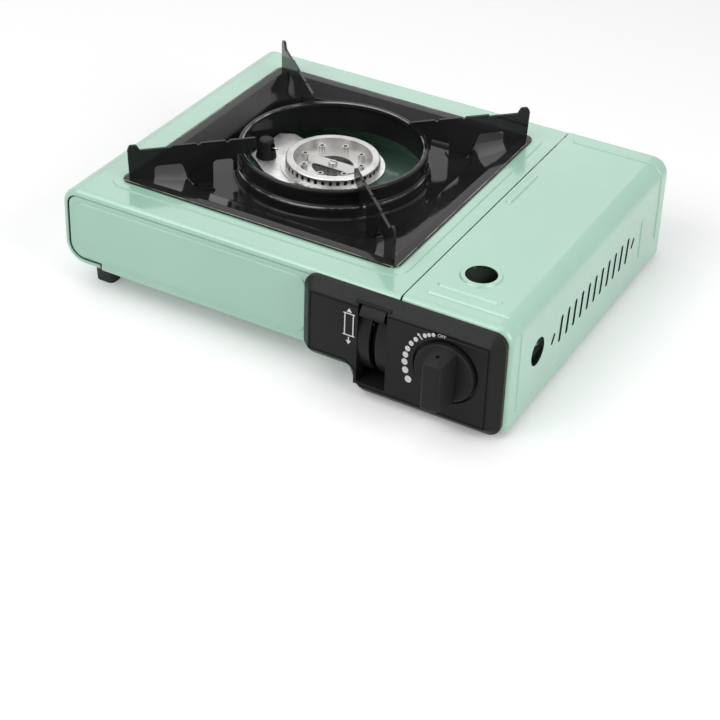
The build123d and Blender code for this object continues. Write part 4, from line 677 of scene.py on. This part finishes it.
class STOVE_OT_print_panel(bpy.types.Operator):
    """Pale marks printed on the control panel: a row of growing dots round the knob with a start mark,
    the word OFF, and beside the lever a plain cartridge symbol with an arrow each way"""
    bl_idname = "stove.print_panel"
    bl_label = "Print panel marks"

    def execute(self, context):
        size = context.scene.stove_sizes
        ink = plain_finish("print_ink", context.scene.stove_colours.print_ink, 0.5, grain=1600)
        face = float(panel_low[1])
        for name, shapes, height in (("dial_marks", self.dial(size), face),
                                     ("lever_marks", self.cartridge(size), face + size.land_rise / MM)):
            points, faces = flat_marks(shapes, height)
            marks = make_piece(name, points, faces, "housing", 20)
            marks.data.materials.append(ink)
        place = (knob_x + OFF_SIDE, knob_z + size.dial_radius / MM + OFF_UP)
        self.write("OFF", OFF_HEIGHT, place, face, ink)
        return {"FINISHED"}

    def dial(self, size):
        """Outlines of the dots and the start mark round the knob.  The row is part of a spiral: each
        dot's distance from the knob's axis grows evenly with its direction."""
        radius = size.dial_radius / MM
        degrees, height = DIAL_DOTS.T
        angle = np.radians(degrees)
        reach = radius + size.dial_growth / MM * (degrees - degrees[0]) / np.ptp(degrees)
        shapes = [oval(knob_x + r * cos(a), knob_z + r * sin(a), h * DOT_WIDTH, h)
                  for r, a, h in zip(reach, angle, height)]
        start, start_reach = radians(START_DIRECTION), radius + START_FURTHER
        centre = (knob_x + start_reach * cos(start), knob_z + start_reach * sin(start))
        return shapes + [turned(START_MARK, centre, start - pi / 2)]

    def cartridge(self, size):
        """Outlines of a cartridge lying between two end bars, with an arrow above and one below."""
        middle = (float(panel_low[0]) + size.symbol_side / MM, size.symbol_middle / MM)
        wide, high = size.symbol_width / MM / 2, size.symbol_height / MM / 2
        inner = high - SYMBOL_LINE
        shapes = [bar(-wide - SYMBOL_LINE, wide + SYMBOL_LINE, inner, high),
                  bar(-wide - SYMBOL_LINE, wide + SYMBOL_LINE, -high, -inner),
                  bar(-wide, SYMBOL_LINE - wide, -inner, inner),
                  bar(wide - SYMBOL_LINE, wide, -inner, inner),
                  ARROW_UP + (0, high), ARROW_DOWN - (0, high)]
        return [outline + middle for outline in shapes]

    def write(self, words, height, place, face_y, ink):
        """Turns a word into a closed mesh standing on the panel's face."""
        text = bpy.data.curves.new("off_word", "FONT")
        text.body, text.size = words, height * MM
        text.align_x, text.align_y = "CENTER", "CENTER"
        text.extrude = INK_THICKNESS / 2 * MM
        maker = bpy.data.objects.new("off_word_text", text)
        bpy.context.scene.collection.objects.link(maker)
        mesh = bpy.data.meshes.new_from_object(maker)
        bpy.data.objects.remove(maker)
        # upright, facing the front, half its thickness before the face
        mesh.transform(Matrix(((1, 0, 0, place[0] * MM),
                               (0, 0, -1, (face_y - INK_THICKNESS / 2) * MM),
                               (0, 1, 0, place[1] * MM),
                               (0, 0, 0, 1))))
        shape = bmesh.new()
        shape.from_mesh(mesh)
        bmesh.ops.remove_doubles(shape, verts=shape.verts, dist=1e-7)
        shape.to_mesh(mesh)
        shape.free()
        mesh.materials.clear()
        mesh.materials.append(ink)
        piece = bpy.data.objects.new("off_word", mesh)
        bpy.context.scene.collection.objects.link(piece)
        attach(piece, "housing")


# ---------------------------------------------------------------- studio
# name, place and size in metres, and power in watts
LAMPS = (
    ("lamp_top", (-0.35, -0.1, 1.7), (2.0, 2.0), 13.5),
    ("lamp_front", (-0.7, -1.35, 1.5), (1.5, 1.1), 17.5),
    ("lamp_right", (1.6, -0.3, 0.9), (1.0, 1.2), 13.5),
    ("lamp_back", (-0.75, 1.45, 1.0), (1.0, 0.7), 1.5),
)
LAMP_AIM = (0.0, 0.01, 0.05)  # point that every lamp faces, in metres
FLOOR_REACH = 3.0  # from the floor's middle to its edge, in metres
SENSOR_WIDTH = 36.0  # millimetres
IMAGE_SIDE = 720.0  # pixels, the unit of the next two
FOCAL_LENGTH = 1844.85
OPTICAL_CENTRE = (372.84, 216.06)
CAMERA_AZIMUTH, CAMERA_ELEVATION, CAMERA_ROLL = 27.99, 30.59, 2.25  # degrees
CAMERA_DISTANCE = 1.32234  # metres from its target
TARGET_SIDE, TARGET_BEHIND_FRONT, TARGET_HEIGHT = 0.0015, 0.13181, 0.045  # metres


def area_lamp(name, place, size, power):
    """Soft rectangular lamp at a place, facing LAMP_AIM; in metres and watts."""
    lamp = bpy.data.lights.new(name, "AREA")
    lamp.shape = "RECTANGLE"
    lamp.size, lamp.size_y = size
    lamp.energy = power
    thing = bpy.data.objects.new(name, lamp)
    bpy.context.scene.collection.objects.link(thing)
    thing.location = place
    thing.rotation_euler = (Vector(LAMP_AIM) - Vector(place)).to_track_quat("-Z", "Y").to_euler()


def strength_by_ray(tree, target, usual, seen, *kinds):
    """Gives a strength socket the seen value for camera rays and those of the given kinds, and the
    usual value for all others."""
    path = tree.nodes.new("ShaderNodeLightPath")
    chosen = path.outputs["Is Camera Ray"]
    for kind in kinds:
        either = tree.nodes.new("ShaderNodeMath")
        either.operation = "MAXIMUM"
        tree.links.new(chosen, either.inputs[0])
        tree.links.new(path.outputs[kind], either.inputs[1])
        chosen = either.outputs[0]
    strength = tree.nodes.new("ShaderNodeMapRange")
    strength.inputs["To Min"].default_value = usual
    strength.inputs["To Max"].default_value = seen
    tree.links.new(chosen, strength.inputs["Value"])
    tree.links.new(strength.outputs["Result"], target)


class STOVE_OT_studio(bpy.types.Operator):
    """White floor, soft lamps and the camera"""
    bl_idname = "stove.studio"
    bl_label = "Set up studio"

    def execute(self, context):
        scene = context.scene
        scene.view_settings.view_transform = "Standard"
        self.make_floor(scene.stove_colours.floor)
        self.make_world(scene)
        for lamp in LAMPS:
            area_lamp(*lamp)
        self.make_camera(scene)
        return {"FINISHED"}

    def make_floor(self, tint):
        """Large matt floor at height 0.  It glows a little to the eye and in reflections, and lights
        nothing."""
        corners = [(FLOOR_REACH * x, FLOOR_REACH * y, 0) for x, y in ((-1, -1), (1, -1), (1, 1), (-1, 1))]
        mesh = bpy.data.meshes.new("floor")
        mesh.from_pydata(corners, [], [(0, 1, 2, 3)])
        floor = bpy.data.objects.new("floor", mesh)
        bpy.context.scene.collection.objects.link(floor)
        material = bpy.data.materials.new("floor")
        material.use_nodes = True
        tree = material.node_tree
        shader = tree.nodes["Principled BSDF"]
        shader.inputs["Base Color"].default_value = (*tint, 1)
        shader.inputs["Roughness"].default_value = 0.9
        shader.inputs["Specular IOR Level"].default_value = 0.1
        shader.inputs["Emission Color"].default_value = (1, 1, 1, 1)
        strength_by_ray(tree, shader.inputs["Emission Strength"], 0.0, 0.18, "Is Glossy Ray")
        floor.data.materials.append(material)

    def make_world(self, scene):
        """White surroundings, bright to the eye and in reflections but dim as a light."""
        world = bpy.data.worlds.new("studio")
        scene.world = world
        world.use_nodes = True
        background = world.node_tree.nodes["Background"]
        background.inputs["Color"].default_value = (1, 1, 1, 1)
        strength_by_ray(world.node_tree, background.inputs["Strength"], 0.24, 1.0, "Is Glossy Ray",
                        "Is Transmission Ray")

    def make_camera(self, scene):
        """Camera on a sphere round its target, rolled about its line of sight and shifted so that the
        optical centre lies off the image's middle."""
        azimuth, elevation, roll = map(radians, (CAMERA_AZIMUTH, CAMERA_ELEVATION, CAMERA_ROLL))
        target = Vector((TARGET_SIDE, float(cover_low[1]) * MM + TARGET_BEHIND_FRONT, TARGET_HEIGHT))
        away = Vector((sin(azimuth) * cos(elevation), -cos(azimuth) * cos(elevation), sin(elevation)))
        right = Vector((cos(azimuth), sin(azimuth), 0))
        up = away.cross(right)
        rolled_right = cos(roll) * right + sin(roll) * up
        rolled_up = cos(roll) * up - sin(roll) * right
        camera = bpy.data.cameras.new("camera")
        camera.sensor_width = SENSOR_WIDTH
        camera.lens = FOCAL_LENGTH / IMAGE_SIDE * SENSOR_WIDTH
        camera.shift_x = (IMAGE_SIDE / 2 - OPTICAL_CENTRE[0]) / IMAGE_SIDE
        camera.shift_y = (OPTICAL_CENTRE[1] - IMAGE_SIDE / 2) / IMAGE_SIDE
        thing = bpy.data.objects.new("camera", camera)
        turn = Matrix((rolled_right, rolled_up, away)).transposed()
        thing.matrix_world = Matrix.Translation(target + CAMERA_DISTANCE * away) @ turn.to_4x4()
        scene.collection.objects.link(thing)
        scene.camera = thing


class STOVE_PT_panel(bpy.types.Panel):
    """Lists the stove's operators, colours and sizes"""
    bl_label = "Cassette stove"
    bl_idname = "STOVE_PT_panel"
    bl_space_type = "VIEW_3D"
    bl_region_type = "UI"
    bl_category = "Stove"

    def draw(self, context):
        for operator in OPERATORS:
            self.layout.operator(operator.bl_idname)
        for group in (context.scene.stove_colours, context.scene.stove_sizes):
            for name in group.bl_rna.properties.keys():
                if name not in ("rna_type", "name"):
                    self.layout.prop(group, name)


OPERATORS = (
    STOVE_OT_paint_body,
    STOVE_OT_paint_plastic,
    STOVE_OT_paint_metal,
    STOVE_OT_paint_enamel,
    STOVE_OT_press_tray,
    STOVE_OT_roll_collar,
    STOVE_OT_print_panel,
    STOVE_OT_studio,
)
CLASSES = (StoveColours, StoveSizes) + OPERATORS + (STOVE_PT_panel,)


def register():
    """Registers the classes and gives the scene its colours and sizes."""
    for kind in CLASSES:
        bpy.utils.register_class(kind)
    bpy.types.Scene.stove_colours = bpy.props.PointerProperty(type=StoveColours)
    bpy.types.Scene.stove_sizes = bpy.props.PointerProperty(type=StoveSizes)


def unregister():
    """Takes back what register gave."""
    del bpy.types.Scene.stove_sizes
    del bpy.types.Scene.stove_colours
    for kind in reversed(CLASSES):
        bpy.utils.unregister_class(kind)


def main():
    """Finishes the stove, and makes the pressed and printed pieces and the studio."""
    register()
    bpy.ops.stove.paint_body()
    bpy.ops.stove.paint_plastic()
    bpy.ops.stove.paint_metal()
    bpy.ops.stove.paint_enamel()
    bpy.ops.stove.press_tray()
    bpy.ops.stove.roll_collar()
    bpy.ops.stove.print_panel()
    bpy.ops.stove.studio()
    bpy.context.view_layer.update()


if __name__ == "__main__":
    main()
